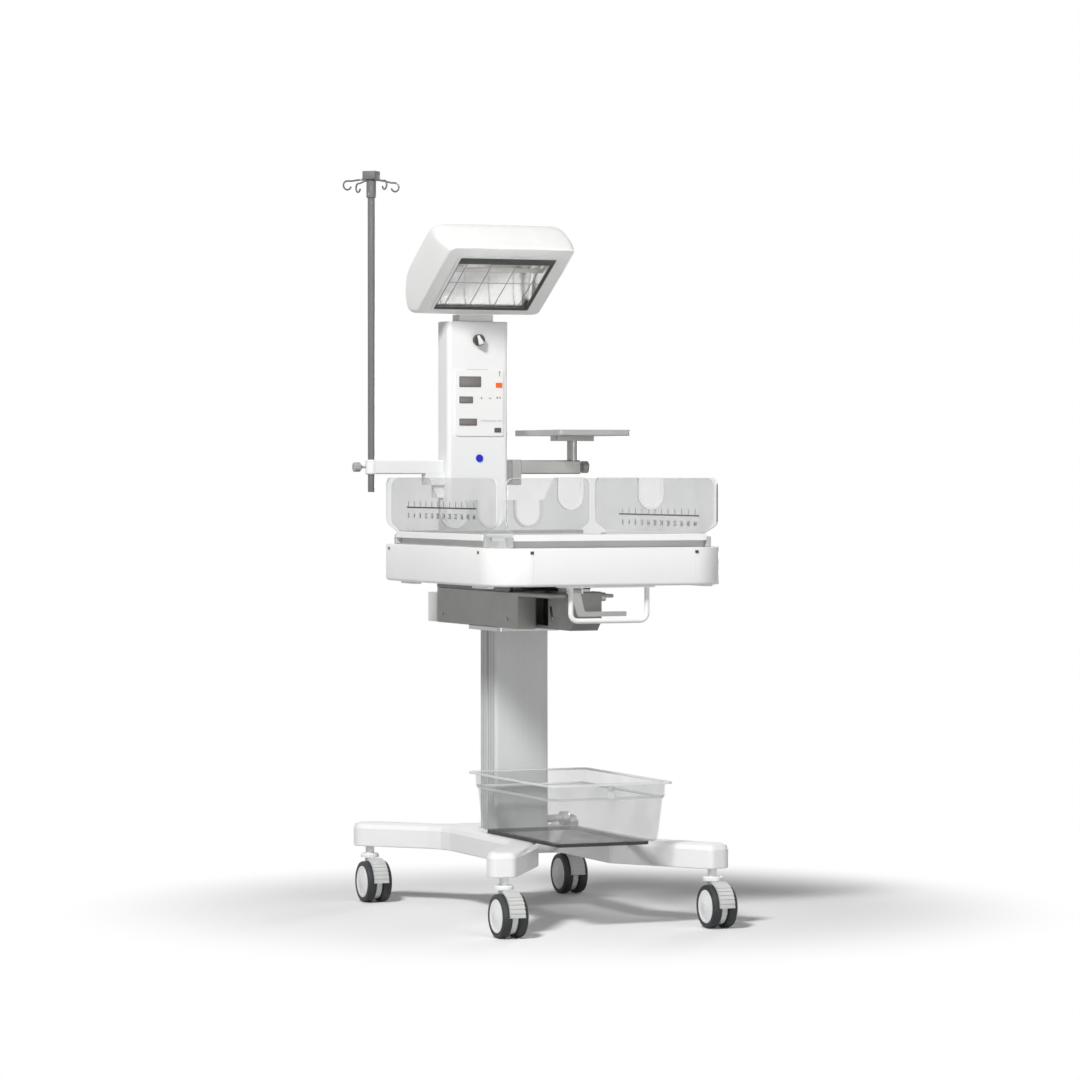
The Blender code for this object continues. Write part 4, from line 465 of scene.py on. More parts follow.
class Coat:
    """A material with one Principled shader and whatever nodes feed it."""

    def __init__(self, name, colour, roughness, **fixed):
        self.material = bpy.data.materials.new(name)
        self.material.use_nodes = True
        self.tree = self.material.node_tree
        self.shader = self.tree.nodes["Principled BSDF"]
        self.feed("Base Color", colour)
        self.feed("Roughness", roughness)
        for key, value in fixed.items():
            self.feed(key.replace("_", " "), value)

    def feed(self, socket, value):
        """Set or link a socket of the Principled shader by its name."""
        self.plug(self.shader.inputs[socket], value)

    def plug(self, socket, value):
        """Set or link any socket, by whether it gets a constant or a signal."""
        if isinstance(value, Signal):
            self.tree.links.new(value.socket, socket)
        else:
            socket.default_value = value

    def add(self, kind, settings=None, sockets=None, output=0):
        """Add any node by its type, settings and sockets, and give back one output."""
        node = self.tree.nodes.new(kind)
        for key, value in (settings or {}).items():
            setattr(node, key, value)
        for key, value in (sockets or {}).items():
            self.plug(node.inputs[key], value)
        return Signal(self, node.outputs[output])

    def place(self, stretch=None):
        """Object coordinates, stretched along an axis where a pattern has a direction."""
        at = self.add("ShaderNodeTexCoord", output="Object")
        if stretch is None:
            return at
        return self.add("ShaderNodeMapping", None, {"Vector": at, "Scale": stretch})

    def along(self, axis):
        """One of the three object coordinates on its own."""
        return self.add("ShaderNodeSeparateXYZ", None, {0: self.place()}, "XYZ".index(axis))

    def noise(self, scale, detail, stretch=None):
        """Soft random blotches, fixed to the object."""
        return self.add("ShaderNodeTexNoise", None,
                        {"Vector": self.place(stretch), "Scale": scale, "Detail": detail})

    def between(self, value, low, high, out_low=0.0, out_high=1.0):
        """A smooth step of a value from one level to another."""
        return self.add("ShaderNodeMapRange", {"interpolation_type": "SMOOTHSTEP"},
                        {0: value, 1: low, 2: high, 3: out_low, 4: out_high})

    def mix(self, share, first, second):
        """A colour between two others; a Mix node keeps its colour sockets at 6, 7 and 2."""
        return self.add("ShaderNodeMix", {"data_type": "RGBA"}, {0: share, 6: first, 7: second}, 2)

    def drift(self, colour, dull_colour, scale, detail, low=0.35, high=0.7):
        """Let the colour wander between two shades."""
        share = self.between(self.noise(scale, detail), low, high)
        self.feed("Base Color", self.mix(share, colour, dull_colour))

    def wear(self, roughness, scale, detail, less, more):
        """Let the gloss wander round a roughness."""
        self.feed("Roughness", self.between(self.noise(scale, detail), 0.3, 0.7,
                                            roughness - less, roughness + more))

    def bump(self, height, distance, strength=0.5):
        """Add the fine relief, the last step of a finish, and give back the material."""
        relief = {"Height": height, "Distance": distance, "Strength": strength}
        self.feed("Normal", self.add("ShaderNodeBump", None, relief))
        return self.material


print("material helpers ready")

# %% [markdown]
# ## Moulded and painted whites
# Nearly every cover is white: powder-coated steel on the columns and base, glossy moulded
# plastic on the tray and hood. Perfectly even white looks unreal, so the colour drifts by
# one or two steps over a hand's width, the gloss drifts too, and a bump gives orange peel.

# %% White finishes
def white_coat(name, colour, dull_colour, roughness, peel_scale, peel_depth):
    """A painted or moulded white with orange peel."""
    finish = Coat(name, colour, roughness)
    finish.drift(colour, dull_colour, 4.5, 4.0)
    finish.wear(roughness, 28.0, 2.0, 0.03, 0.05)
    return finish.bump(finish.noise(peel_scale, 2.0), peel_depth)


powder_white = white_coat("powder_white", chip(245, 246, 245), chip(243, 244, 243), 0.42,
                          900.0, 0.00002)
gloss_white = white_coat("gloss_white", chip(247, 247, 246), chip(245, 245, 245), 0.34,
                         700.0, 0.00001)
hood_white = white_coat("hood_white", chip(246, 246, 244), chip(244, 244, 242), 0.36,
                        800.0, 0.000015)
castor_white = white_coat("castor_white", chip(249, 250, 250), chip(246, 246, 247), 0.32,
                          700.0, 0.00003)
print("white finishes made")

# %% [markdown]
# ## Greys and metals
# The housing is silver-grey paint, the pole and the wires are steel, the reflector is
# bright aluminium. A drawn or brushed metal is a noise that is stretched very long in one
# direction, which is what the Mapping node is for.

# %% Grey and metal finishes
def grey_coat(name, colour, dull_colour, roughness, metallic=0.0, scale=700.0, depth=0.00004):
    """Paint, moulded plastic or dull metal, by how metallic it is."""
    finish = Coat(name, colour, roughness, Metallic=metallic)
    finish.drift(colour, dull_colour, 9.0, 5.0, 0.3)
    finish.wear(roughness, 60.0, 3.0, 0.04, 0.06)
    return finish.bump(finish.noise(scale, 2.0), depth)


def drawn_metal(name, colour, dull_colour, roughness, stretch, lines=420.0):
    """Bare metal with fine lines along the way it was drawn."""
    finish = Coat(name, colour, roughness, Metallic=1.0)
    grain = finish.noise(lines, 2.0, stretch)
    finish.feed("Base Color", finish.mix(grain, colour, dull_colour))
    finish.feed("Roughness", finish.between(grain, 0.25, 0.75, roughness - 0.05,
                                            roughness + 0.08))
    return finish.bump(grain, 0.00003, 0.4)


housing_grey = grey_coat("housing_grey", chip(172, 172, 168), chip(165, 165, 162), 0.46, 0.1)
arm_grey = grey_coat("arm_grey", chip(176, 176, 173), chip(168, 168, 166), 0.34, 0.4)
bracket_grey = grey_coat("bracket_grey", chip(140, 140, 137), chip(126, 126, 124), 0.45, 0.3)
beam_dark = grey_coat("beam_dark", chip(92, 92, 89), chip(80, 80, 78), 0.42, 0.2)
# The deck's own grey, made darker as painted shade for the gap under the strips.
deck_tone_and_shade = grey_coat("deck_tone_and_shade", chip(190, 191, 189), chip(184, 185, 183), 0.5)
rail_dark = grey_coat("rail_dark", chip(58, 58, 57), chip(48, 48, 47), 0.5)
pole_steel = grey_coat("pole_steel", chip(114, 115, 114), chip(108, 109, 108), 0.40, 0.15,
                       300.0, 0.000002)
mirror_metal = grey_coat("reflector_aluminium", chip(252, 252, 251), chip(248, 248, 247), 0.16,
                         0.85, 400.0, 0.000004)
steel = drawn_metal("brushed_steel", chip(178, 178, 176), chip(160, 160, 158), 0.30,
                    (0.03, 1.0, 1.0))
wire_steel = drawn_metal("wire_steel", chip(170, 170, 168), chip(150, 150, 148), 0.32,
                         (1.0, 1.0, 1.0), 900.0)
print("grey and metal finishes made")

# %% [markdown]
# ## The lifting column's grooved sides
# The column is an anodised extrusion: plain in front and behind, with grooves down the
# whole length of its sides. The grooves are a sine wave across the side, cut to dark and pale
# bands; the dark bands are painted shade in the grooves and also dim the whole side as
# painted shade, and the same wave gives the grooves' relief. The direction that the surface
# faces tells the sides from the front.

# %% Column finish
rib_pitch, side_on = 0.0115, 0.7
column_coat = Coat("column_aluminium", chip(224, 225, 225), 0.40)
grain = column_coat.noise(160.0, 2.0, (1.0, 1.0, 0.01))
facing = column_coat.add("ShaderNodeTexCoord", output="Normal")
on_side = abs(column_coat.add("ShaderNodeSeparateXYZ", None, {0: facing})) > side_on
rib_wave = (column_coat.along("Y") * (2 * pi / rib_pitch)).sine()
# Painted shade: dark bands in the side grooves, which also dim the whole side.
groove_shade_and_relief = column_coat.between(rib_wave, -0.9, -0.5) * on_side + (1.0 - on_side)
plain_face = column_coat.mix(grain, chip(226, 227, 227), chip(219, 220, 220))
column_coat.feed("Base Color", column_coat.mix(groove_shade_and_relief, chip(148, 149, 150), plain_face))
column_coat.feed("Roughness", column_coat.between(grain, 0.25, 0.75, 0.38, 0.48))
column_metal = column_coat.bump(groove_shade_and_relief, 0.0006, 0.7)
print("column finish made")

# %% [markdown]
# ## Rubber and small moulded parts
# Tyres and seals are matt and hold dust, so their colour drifts further than paint does; the
# window liner's dark rubber is also painted shade.
# Knobs, pedals and the peg are moulded or turned, which the grey finish already gives.

# %% Rubber, knob and pedal finishes
def rubber_coat(name, colour, dusty, roughness, scale=500.0):
    """Matt rubber with a little dust in it."""
    finish = Coat(name, colour, roughness)
    finish.drift(colour, dusty, 22.0, 6.0, 0.45, 0.75)
    return finish.bump(finish.noise(scale, 4.0), 0.00008, 0.6)


tyre_rubber = rubber_coat("tyre_rubber", chip(44, 46, 48), chip(60, 61, 62), 0.62)
# Painted shade: the window liner's dark rubber stands for the window's shaded inner walls.
liner_shade_rubber = rubber_coat("liner_shade_rubber", chip(62, 62, 58), chip(74, 74, 70), 0.55, 900.0)
knob_grey = grey_coat("knob_grey", chip(176, 176, 173), chip(166, 166, 164), 0.45)
knob_dark = grey_coat("knob_dark", chip(52, 52, 51), chip(44, 44, 43), 0.4)
# Painted reflections: a dark and a pale finish for the chrome lock knob.
lock_reflection_dark = grey_coat("lock_reflection_dark", chip(58, 58, 56), chip(48, 48, 47), 0.32)
lock_reflection_pale = grey_coat("lock_reflection_pale", chip(238, 238, 236), chip(228, 228, 226), 0.28, 0.2)
pedal_grey = grey_coat("pedal_grey", chip(214, 215, 213), chip(202, 203, 202), 0.42)
peg_white = grey_coat("peg_white", chip(226, 226, 224), chip(214, 214, 212), 0.3, 0.5)
print("rubber, knob and pedal finishes made")

# %% [markdown]
# ## Clear plastics
# The bed's walls are 5 mm acrylic and the bin is clear polycarbonate. Real glass shaders
# make heavy shadows through thin sheets, so the faces let most light straight through
# with a low Alpha and keep a sharp gloss. The sawn edges are frosted and gather light, so
# their pale finish is their own frosting with a painted highlight; a wall's end turned from
# the light gets a dark finish, a painted shade. The bin's rim and shoulder get a pale
# painted highlight and its floor a dark painted shade.

# %% Clear finishes
acrylic_index, smudge = 1.49, 0.05


def clear_coat(name, colour, alpha, roughness):
    """A clear or frosted plastic, by its alpha, with faint smudges."""
    finish = Coat(name, colour, roughness, IOR=acrylic_index)
    wipe = finish.between(finish.noise(7.0, 6.0), 0.42, 0.72)
    finish.feed("Roughness", wipe * 0.12 + roughness)
    finish.feed("Alpha", wipe * smudge + alpha)
    finish.material.use_transparency_overlap = True
    return finish.material


acrylic = clear_coat("acrylic_sheet", chip(158, 160, 160), 0.165, 0.05)
# Painted shade: a dark finish for a wall's end turned from the light. The pale edge finish is
# sawn-edge frosting with a painted highlight.
acrylic_shaded_end = clear_coat("acrylic_shaded_end", chip(66, 68, 69), 0.85, 0.12)
acrylic_frosted_highlight = clear_coat("acrylic_frosted_highlight", chip(238, 241, 241), 0.72, 0.18)
bin_clear = clear_coat("bin_polycarbonate", chip(140, 142, 141), 0.135, 0.08)
# Painted shade: the bin floor's dark finish. Painted highlight: the pale rim finish.
bin_shade_floor = clear_coat("bin_shade_floor", chip(92, 90, 88), 0.42, 0.16)
bin_highlight_edge = clear_coat("bin_highlight_rim", chip(236, 238, 238), 0.70, 0.16)
silicone_coat = Coat("soft_silicone", chip(240, 241, 240), 0.45, Alpha=0.9)
silicone = silicone_coat.bump(silicone_coat.noise(300.0, 2.0), 0.00005, 0.4)
print("clear finishes made")

# %% [markdown]
# ## The control panel's films, keys and inks
# A membrane panel is printed polyester: a satin white film, dark glossy windows over the
# displays, and a few coloured keys. Small prints are generic ticks and figures only.

# %% Panel finishes
def film_coat(name, colour, roughness, coat_weight=0.0):
    """A printed film, with a clear layer over it where it is glossy."""
    finish = Coat(name, colour, roughness, Coat_Weight=coat_weight, Coat_Roughness=0.08)
    finish.wear(roughness, 80.0, 2.0, 0.03, 0.04)
    return finish.bump(finish.noise(1500.0, 1.0), 0.00002, 0.4)


overlay_film = film_coat("overlay_film", chip(247, 247, 246), 0.42)
display_glass = film_coat("display_glass", chip(118, 114, 112), 0.40, 0.1)
display_frame = film_coat("display_frame", chip(88, 85, 84), 0.45)
key_orange = film_coat("key_orange", chip(255, 104, 28), 0.55)
key_dark = film_coat("key_dark", chip(84, 84, 82), 0.5)
key_blue = film_coat("key_blue", chip(18, 30, 205), 0.55)
print_grey = film_coat("print_grey", chip(150, 150, 150), 0.5)
print_dark = film_coat("print_dark", chip(48, 49, 50), 0.55)
print("panel finishes made")

# %% [markdown]
# ## The heater
# The element is a quartz tube with a wound wire inside: milky, a little warm in colour.
# Its Object coordinates give the windings, as a fine stripe along X. The rate of a wave is
# in radians to a metre.

# %% Heater finish
winding_rate = 2400.0
milky, warm = chip(240, 238, 234), chip(222, 216, 208)
quartz_coat = Coat("heater_quartz", milky, 0.25, Coat_Weight=0.3, Coat_Roughness=0.08)
winding = (quartz_coat.along("X") * winding_rate).sine()
quartz_coat.feed("Base Color", quartz_coat.mix(quartz_coat.between(winding, -0.2, 0.8),
                                               milky, warm))
quartz = quartz_coat.bump(winding, 0.0001, 0.4)
print("heater finish made")

# %% [markdown]
# ## The mattress cover
# A coated fabric: soft, matt, with a very fine weave under the coating and slow shallow
# creases. The weave is two crossed sine waves on the object's own coordinates.

# %% Cover fabric
weave_rate = 4200.0
pad_coat = Coat("mattress_cover", chip(236, 238, 239), 0.62)
weave_x = (pad_coat.along("X") * weave_rate).sine()
weave_y = (pad_coat.along("Y") * weave_rate).sine()
pad_coat.drift(chip(238, 239, 240), chip(234, 235, 236), 8.0, 4.0)
pad_cover = pad_coat.bump(weave_x * weave_y * 0.15 + pad_coat.noise(14.0, 4.0), 0.0006)
print("cover fabric made")

# %% [markdown]
# ## Dressing the CAD pieces that keep their form
# Flat plates, posts and brackets are right as they are. A CAD node's mesh is never
# touched, but its object has a material slot, and that slot takes the new finish.

# %% Finishes for the kept CAD pieces
corners = ("front_left", "front_right", "rear_left", "rear_right")
grommets = ("back_left", "back_middle", "back_right", "front_left", "front_right")
dress = {
    powder_white: ("base_chassis", "upper_column", "pole_arm", "bed_handle", "hood_neck"),
    gloss_white: ("strip_front", "strip_left", "strip_right"),
    arm_grey: ("shelf_arm", "shelf_post", "shelf", "tilt_lever"),
    steel: ("column_inner", "tilt_link", "tilt_pin"),
    housing_grey: ("support_housing",), beam_dark: ("support_beam",),
    bracket_grey: ("tilt_bracket",), column_metal: ("column_outer",),
    deck_tone_and_shade: ("bed_deck",), rail_dark: ("bin_rails",), peg_white: ("side_peg",),
    overlay_film: ("control_panel",), key_orange: ("key_orange",), key_dark: ("key_dark",),
    key_blue: ("key_blue",), wire_steel: ("wire_grille",),
    silicone: ["grommet_" + place for place in grommets],
    castor_white: ["castor_housing_" + corner for corner in corners],
    pedal_grey: ["castor_pedal_" + corner for corner in corners],
}
for finish, names in dress.items():
    for name in names:
        coat(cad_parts[name], finish)
print(sum(len(names) for names in dress.values()), "CAD pieces dressed")

# %% [markdown]
# ## Castors
# Each castor has two wheels side by side with a fork web between them. A wheel is a grey
# rubber tyre round a white plastic disc, with a shallow ring and a hub cap. One wheel is
# grown ring by ring from its inner side outwards, then copied to all eight places.

# %% One castor wheel
wheel_radius, hub_radius, wheel_inner_x, wheel_sides = 0.054, 0.0415, 0.009, 56
tyre_rings = [(0.0, hub_radius - 0.002), (0.0, 0.0500), (0.0014, 0.0528), (0.0042, wheel_radius),
              (0.0110, wheel_radius), (0.0200, wheel_radius - 0.0006), (0.0226, 0.0522),
              (0.0240, 0.0496), (0.0240, hub_radius + 0.0010), (0.0224, hub_radius),
              (0.0216, hub_radius)]
hub_rings = [(0.0010, 0.016), (0.0010, hub_radius - 0.0014), (0.0030, hub_radius - 0.0002),
             (0.0226, hub_radius - 0.0002), (0.0234, hub_radius - 0.0012), (0.0236, 0.0350),
             (0.0228, 0.0340), (0.0228, 0.0325), (0.0236, 0.0315), (0.0240, 0.0140),
             (0.0248, 0.0120), (0.0248, 0.0040), (0.0246, 0.0010)]
tyre = coat(lathe("wheel_tyre", tyre_rings, axis="X", sides=wheel_sides), tyre_rubber)
hub = coat(lathe("wheel_hub", hub_rings, axis="X", sides=wheel_sides), castor_white)
side_play = 0.9980
for item in (tyre, hub):
    round_off(place_in(item, Matrix.Diagonal((side_play, 1.0, 1.0, 1.0))))
one_wheel = join("wheel_pattern", tyre, hub)
print("one wheel", len(one_wheel.data.polygons), "faces")

# %% Eight wheels from one
axle_radius, axle_overlap = 0.006, 0.002
for corner in corners:
    low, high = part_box("castor_wheels_" + corner)
    centre = (low + high) / 2
    right = copy_of(one_wheel, "wheels_" + corner,
                    centre + Vector((wheel_inner_x, 0.0, 0.0)))
    left = copy_of(one_wheel, "wheel_left_" + corner)
    place_in(left, Matrix.Translation(centre - Vector((wheel_inner_x, 0.0, 0.0)))
             @ Matrix.Rotation(pi, 4, "Z"))
    axle = lathe("axle_" + corner,
                 [(0.0, axle_radius), (2 * wheel_inner_x + 2 * axle_overlap, axle_radius)],
                 centre - Vector((wheel_inner_x + axle_overlap, 0.0, 0.0)), "X", 16)
    pair = join("wheels_" + corner, right, left, coat(axle, castor_white))
    fit(pair, None, "wheels_" + corner, "castor_wheels_" + corner)
bpy.data.objects.remove(one_wheel, do_unlink=True)

# %% [markdown]
# ## The clear bin
# A vacuum-formed tray of clear plastic: a flat rim, a shoulder a little lower down, and
# drafted walls down to a rounded floor. It is grown up the outside, over the rim and down
# the inside, so the wall has its true thickness. Its rim and shoulder catch the light, so
# those faces get a pale finish, a painted highlight; the floor's faces get a dark finish,
# a painted shade.

# %% Bin
bin_y, rim_x, rim_y, rim_top = -0.182, 0.168, 0.2705, 0.366
bin_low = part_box("storage_bin")[0][2]
bin_wall = 0.0025
outer_rows = [(bin_low, 0.131, 0.233, 0.011), (bin_low + 0.0012, 0.1355, 0.2375, 0.014),
              (bin_low + 0.0045, 0.1395, 0.2415, 0.016), (bin_low + 0.010, 0.1410, 0.2430, 0.017),
              (0.3235, 0.1500, 0.2525, 0.019), (0.3255, 0.1506, 0.2531, 0.019),
              (0.3300, 0.1540, 0.2565, 0.020), (0.3325, 0.1543, 0.2568, 0.020),
              (0.3615, 0.1553, 0.2578, 0.020), (0.3622, 0.1562, 0.2587, 0.020),
              (0.3622, rim_x - 0.0010, rim_y - 0.0010, 0.021),
              (0.3610, rim_x - 0.0004, rim_y - 0.0004, 0.021),
              (0.3606, rim_x, rim_y, 0.022), (rim_top - 0.0008, rim_x, rim_y, 0.022),
              (rim_top, rim_x - 0.0010, rim_y - 0.0010, 0.021)]
inner_rows = [(rim_top, 0.1545, 0.2570, 0.018), (rim_top - 0.0012, 0.1532, 0.2557, 0.018),
              (0.3330, 0.1518, 0.2543, 0.018), (0.3310, 0.1514, 0.2539, 0.018),
              (0.3270, 0.1482, 0.2507, 0.017), (0.3245, 0.1477, 0.2502, 0.017),
              (bin_low + 0.012, 0.1386, 0.2406, 0.015), (bin_low + 0.006, 0.1368, 0.2388, 0.013),
              (bin_low + bin_wall, 0.1320, 0.2340, 0.010)]
bin_shell = skin("clear_bin", [(*row, 0.0) for row in outer_rows + inner_rows], steps=8)
coat(bin_shell, bin_clear, bin_highlight_edge, bin_shade_floor)
clear_slot, highlight_slot, shade_slot = 0, 1, 2
rim_from, rim_to, shoulder_from, shoulder_to = 0.3600, 0.3655, 0.3240, 0.3330
# Rim and shoulder faces get the painted highlight, floor faces the painted shade.
for face in bin_shell.data.polygons:
    height, upright = face.center.z, abs(face.normal.z)
    rim = height > rim_from and (height < rim_to or upright < 0.9)
    shoulder = shoulder_from < height < shoulder_to and upright > 0.25
    under = height < bin_low + 0.004 and upright > 0.9
    face.material_index = highlight_slot if rim or shoulder else shade_slot if under else clear_slot
place_at(round_off(bin_shell), spot(0.0, bin_y, 0.0))
fit(bin_shell, None, "bin", "storage_bin")

# %% [markdown]
# ## A pull tab for the bin
# A small upright tongue stands under the rim at the front, for a finger to pull at. It is
# a thin plate cut to a slightly tapered outline, in the rim's pale painted-highlight finish.

# %% Pull tab on the rim
tab_half, tab_end_half, tab_reach, tab_thickness = 0.0090, 0.0075, 0.034, 0.0016
tab = sheet_metal("bin_tab", [(-tab_half, 0.0, 0.003), (tab_half, 0.0, 0.003),
                              (tab_end_half, tab_reach, 0.002),
                              (-tab_end_half, tab_reach, 0.002)],
                  tab_thickness, "XZ", spot(0.0, bin_y - 0.2598, 0.3265), 3)
fit(round_off(tab, 0.0004, 2), bin_highlight_edge, "bin")

# %% [markdown]
# ## Mattress
# The mattress is a thin foam pad in a wipe-clean cover, crowned a little, with a piped seam
# round its edge. Padded covers are best made by letting cloth swell: the pad is remeshed
# evenly, blown up a little with Cloth pressure, and every point is held near its start.

# %% A swollen cover
mattress_low, mattress_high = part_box("mattress")
pad_middle = (mattress_low + mattress_high) / 2
pad_half = (mattress_high - mattress_low) / 2
pad_corner, pad_start = 0.045, 0.96
pad_rows = [(pad_middle.z + pad_half.z * height * pad_start, pad_half.x - inset,
             pad_half.y - inset, pad_corner, 0.0)
            for height, inset in ((-1.0, 0.016), (-0.92, 0.008), (-0.55, 0.0055), (0.0, 0.0050),
                                  (0.40, 0.0055), (0.68, 0.010), (0.80, 0.020))]
pad = place_at(skin("mattress_cover", pad_rows, steps=6), (pad_middle.x, pad_middle.y, 0.0))
voxel, swell_force, swell_frames, most = 0.006, 4.0, 20, 0.005
modify(pad, "REMESH", mode="VOXEL", voxel_size=voxel)
starts = [vert.co.copy() for vert in pad.data.vertices]
bpy.ops.object.modifier_add(type="CLOTH")
cloth = pad.modifiers[-1]
cloth.settings.use_pressure = True
cloth.settings.uniform_pressure_force = swell_force
cloth.settings.effector_weights.gravity = 0.0
for moment in range(1, swell_frames + 1):
    bpy.context.scene.frame_set(moment)
swollen = pad.evaluated_get(bpy.context.evaluated_depsgraph_get())
ends = [vert.co.copy() for vert in swollen.data.vertices]
pad.modifiers.remove(cloth)
for vert, start, end in zip(pad.data.vertices, starts, ends):
    move = end - start
    if move.length > most:
        move = move.normalized() * most
    vert.co = start + move
    vert.co.z = min(max(vert.co.z, mattress_low.z), mattress_high.z)
bpy.context.scene.frame_set(1)
print("cover swollen,", len(starts), "points")
subdivide_smooth(pad, 1)
fit(pad, pad_cover, "bed", "mattress")

# %% The piped seam
seam_level, seam_inset, piping_radius = pad_middle.z + pad_half.z * 0.40, 0.0030, 0.0019
seam_points = [(x + pad_middle.x, y + pad_middle.y, seam_level)
               for x, y in outline_of(pad_half.x - seam_inset, pad_half.y - seam_inset,
                                      pad_corner, 0.0, 8)]
fit(bent_tube("mattress_piping", seam_points, piping_radius, closed=True), pad_cover, "bed")

# %% [markdown]
# ## The heater hood
# The hood is one deep moulded cover with soft shoulders and a crisp fold round its face.
# It is grown from the ceiling of its hollow outwards: down the hollow, round the lip of
# the window, across the face, over the fold and up to the crown. A Subdivision Surface
# rounds the coarse rings; two rings set close together keep the fold and the lip crisp.

# %% The hood's shell
hood_rear_y, hood_low_z, hood_face_angle = 0.421, 1.5473, radians(32.5)
face_length, hood_half, hood_depth, hood_corner = 0.298, 0.191, 0.131, 0.036
window_half, window_near, window_far = 0.1345, 0.024, 0.257
rest_length = 0.050
hood_place = (Matrix.Translation(spot(0.0, hood_rear_y, hood_low_z))
              @ Matrix.Rotation(-hood_face_angle, 4, "X"))


def hood_ring(height, near, far, half, corner):
    """One ring of the hood, from near to far along the face."""
    return (height, half, (far - near) / 2, corner, -(far + near) / 2)


hollow_rings = [
    hood_ring(0.112, 0.028, 0.228, 0.152, 0.018), hood_ring(0.110, 0.026, 0.232, 0.154, 0.018),
    hood_ring(0.0085, 0.014, 0.284, 0.166, 0.018),
    hood_ring(0.0045, 0.0145, 0.2835, 0.1655, 0.018),
    hood_ring(0.0045, window_near + 0.0002, window_far, window_half, 0.004),
    hood_ring(0.0008, window_near, window_far, window_half, 0.004),
    hood_ring(0.0, window_near - 0.001, window_far + 0.001, window_half + 0.001, 0.005)]
face_rings = [
    hood_ring(0.0, 0.004, face_length - 0.005, 0.916 * hood_half - 0.004, 0.016),
    hood_ring(0.0006, 0.0008, face_length - 0.0008, 0.916 * hood_half - 0.0008, 0.018),
    hood_ring(0.0040, -0.0040, face_length - 0.0004, 0.925 * hood_half, 0.020),
    hood_ring(rest_length * sin(hood_face_angle), -rest_length * cos(hood_face_angle),
              face_length * 0.968, hood_half * 0.967, hood_corner * 0.65)]
crown_rings = [
    hood_ring(hood_depth * level, face_length * near, face_length * far, hood_half * half,
              hood_corner * corner)
    for level, near, far, half, corner in (
        (0.413, -0.107, 0.932, 0.994, 0.85), (0.575, -0.079, 0.902, 1.003, 1.0),
        (0.791, -0.010, 0.858, 0.990, 1.0), (0.914, 0.030, 0.808, 0.955, 1.0),
        (0.985, 0.095, 0.730, 0.905, 1.0), (1.0, 0.200, 0.500, 0.790, 0.9),
        (1.0, 0.300, 0.400, 0.400, 0.3))]
hood = subdivide_smooth(skin("hood_cover", hollow_rings + face_rings + crown_rings, steps=4))
fit(place_in(hood, hood_place), hood_white, "hood", "hood_shell")

# %% [markdown]
# ## The window's seal
# A pale frame is pressed round the window, with a dark liner inside it that shows on
# three sides: a painted shade for the window's inner walls, which lie in shadow. Both are
# flat frames: an outline, then a smaller one cut out of it.

# %% Seal and liner
def frame_plate(name, outer, inner, thickness, level):
    """A flat frame in the hood's face: outer and inner are (x_low, x_high, near, far, radius)."""
    def corners_of(x_low, x_high, near, far, radius):
        """The outline of one rectangle in the face."""
        return [(x_low, -far, radius), (x_high, -far, radius), (x_high, -near, radius),
                (x_low, -near, radius)]
    plate = sheet_metal(name, corners_of(*outer), thickness, steps=4)
    carve(plate, sheet_metal(name + "_hole", corners_of(*inner), thickness * 4, steps=4))
    round_off(plate, 0.0004, 2)
    return place_in(plate, hood_place @ Matrix.Translation((0.0, 0.0, level)))


seal = frame_plate("window_seal", (-0.1415, 0.1415, 0.017, 0.264, 0.009),
                   (-0.1345, 0.1345, 0.0245, 0.2570, 0.004), 0.0026, -0.0017)
# The dark liner is painted shade for the window's inner walls.
liner = frame_plate("window_shade_liner", (-0.1346, 0.1346, 0.0242, 0.2572, 0.003),
                    (-0.1338, 0.1265, 0.0350, 0.2300, 0.003), 0.0020, -0.0013)
fit(join("window_seal", coat(seal, hood_white), coat(liner, liner_shade_rubber)), None, "hood",
    "hood_gasket")

# %% [markdown]
# ## Reflector and element
# Behind the wires a bright trough throws the heat down. It is an arched sheet: a plane cut
# into a fine grid, raised along an arch that falls off at both ends, and thickened. Under it
# lies a quartz tube with two end caps.

# %% The reflector
trough_near, trough_far, trough_half, trough_rise = 0.018, 0.280, 0.150, 0.0596
trough_mouth, trough_play, trough_wall = 0.0055, 0.002, 0.0012
arch_fill, end_power = 1.04, 16
middle_along = (trough_near + trough_far) / 2
half_along = (trough_far - trough_near) / 2
clear_selection()
bpy.ops.mesh.primitive_plane_add(size=1.0)
trough = named(bpy.context.object, "heat_reflector")
trough.scale = (2 * trough_half - trough_play, 2 * half_along - trough_play, 1.0)
trough.location = (0.0, -middle_along, trough_mouth)
bake_place()
pick(trough, "FACE", lambda centre, normal: True)
bpy.ops.mesh.subdivide(number_cuts=31)
only(trough)
for vert in trough.data.vertices:
    across = (vert.co.y + middle_along) / half_along
    sideways = vert.co.x / trough_half
    arch = min((1 - across * across) * arch_fill, 1.0)
    vert.co.z = trough_mouth + trough_rise * arch * (1 - sideways ** end_power)
round_off(modify(trough, "SOLIDIFY", thickness=trough_wall, offset=0.0))
fit(place_in(trough, hood_place), mirror_metal, "hood", "reflector")

# %% The element
tube_rings = [(0.0, 0.0045), (0.0, 0.0068), (0.0008, 0.0075), (0.0100, 0.0075), (0.0108, 0.0068),
              (0.0108, 0.0060), (0.3012, 0.0060), (0.3012, 0.0068), (0.3020, 0.0075),
              (0.3112, 0.0075), (0.3120, 0.0068), (0.3120, 0.0045)]
element_start = (-0.156, -middle_along, 0.0385)
element = round_off(lathe("heater_element", tube_rings, element_start, "X", 24))
fit(place_in(element, hood_place), quartz, "hood", "heater_tube")

# %% [markdown]
# ## The bed tray
# The tray is a deep moulded pan with wide round corners. Straight wall parts meet the
# corner parts at fine seams, and small dark clips sit near the top edge at each seam. The
# pan is grown ring by ring, up the outside, over the rim and down the inside.

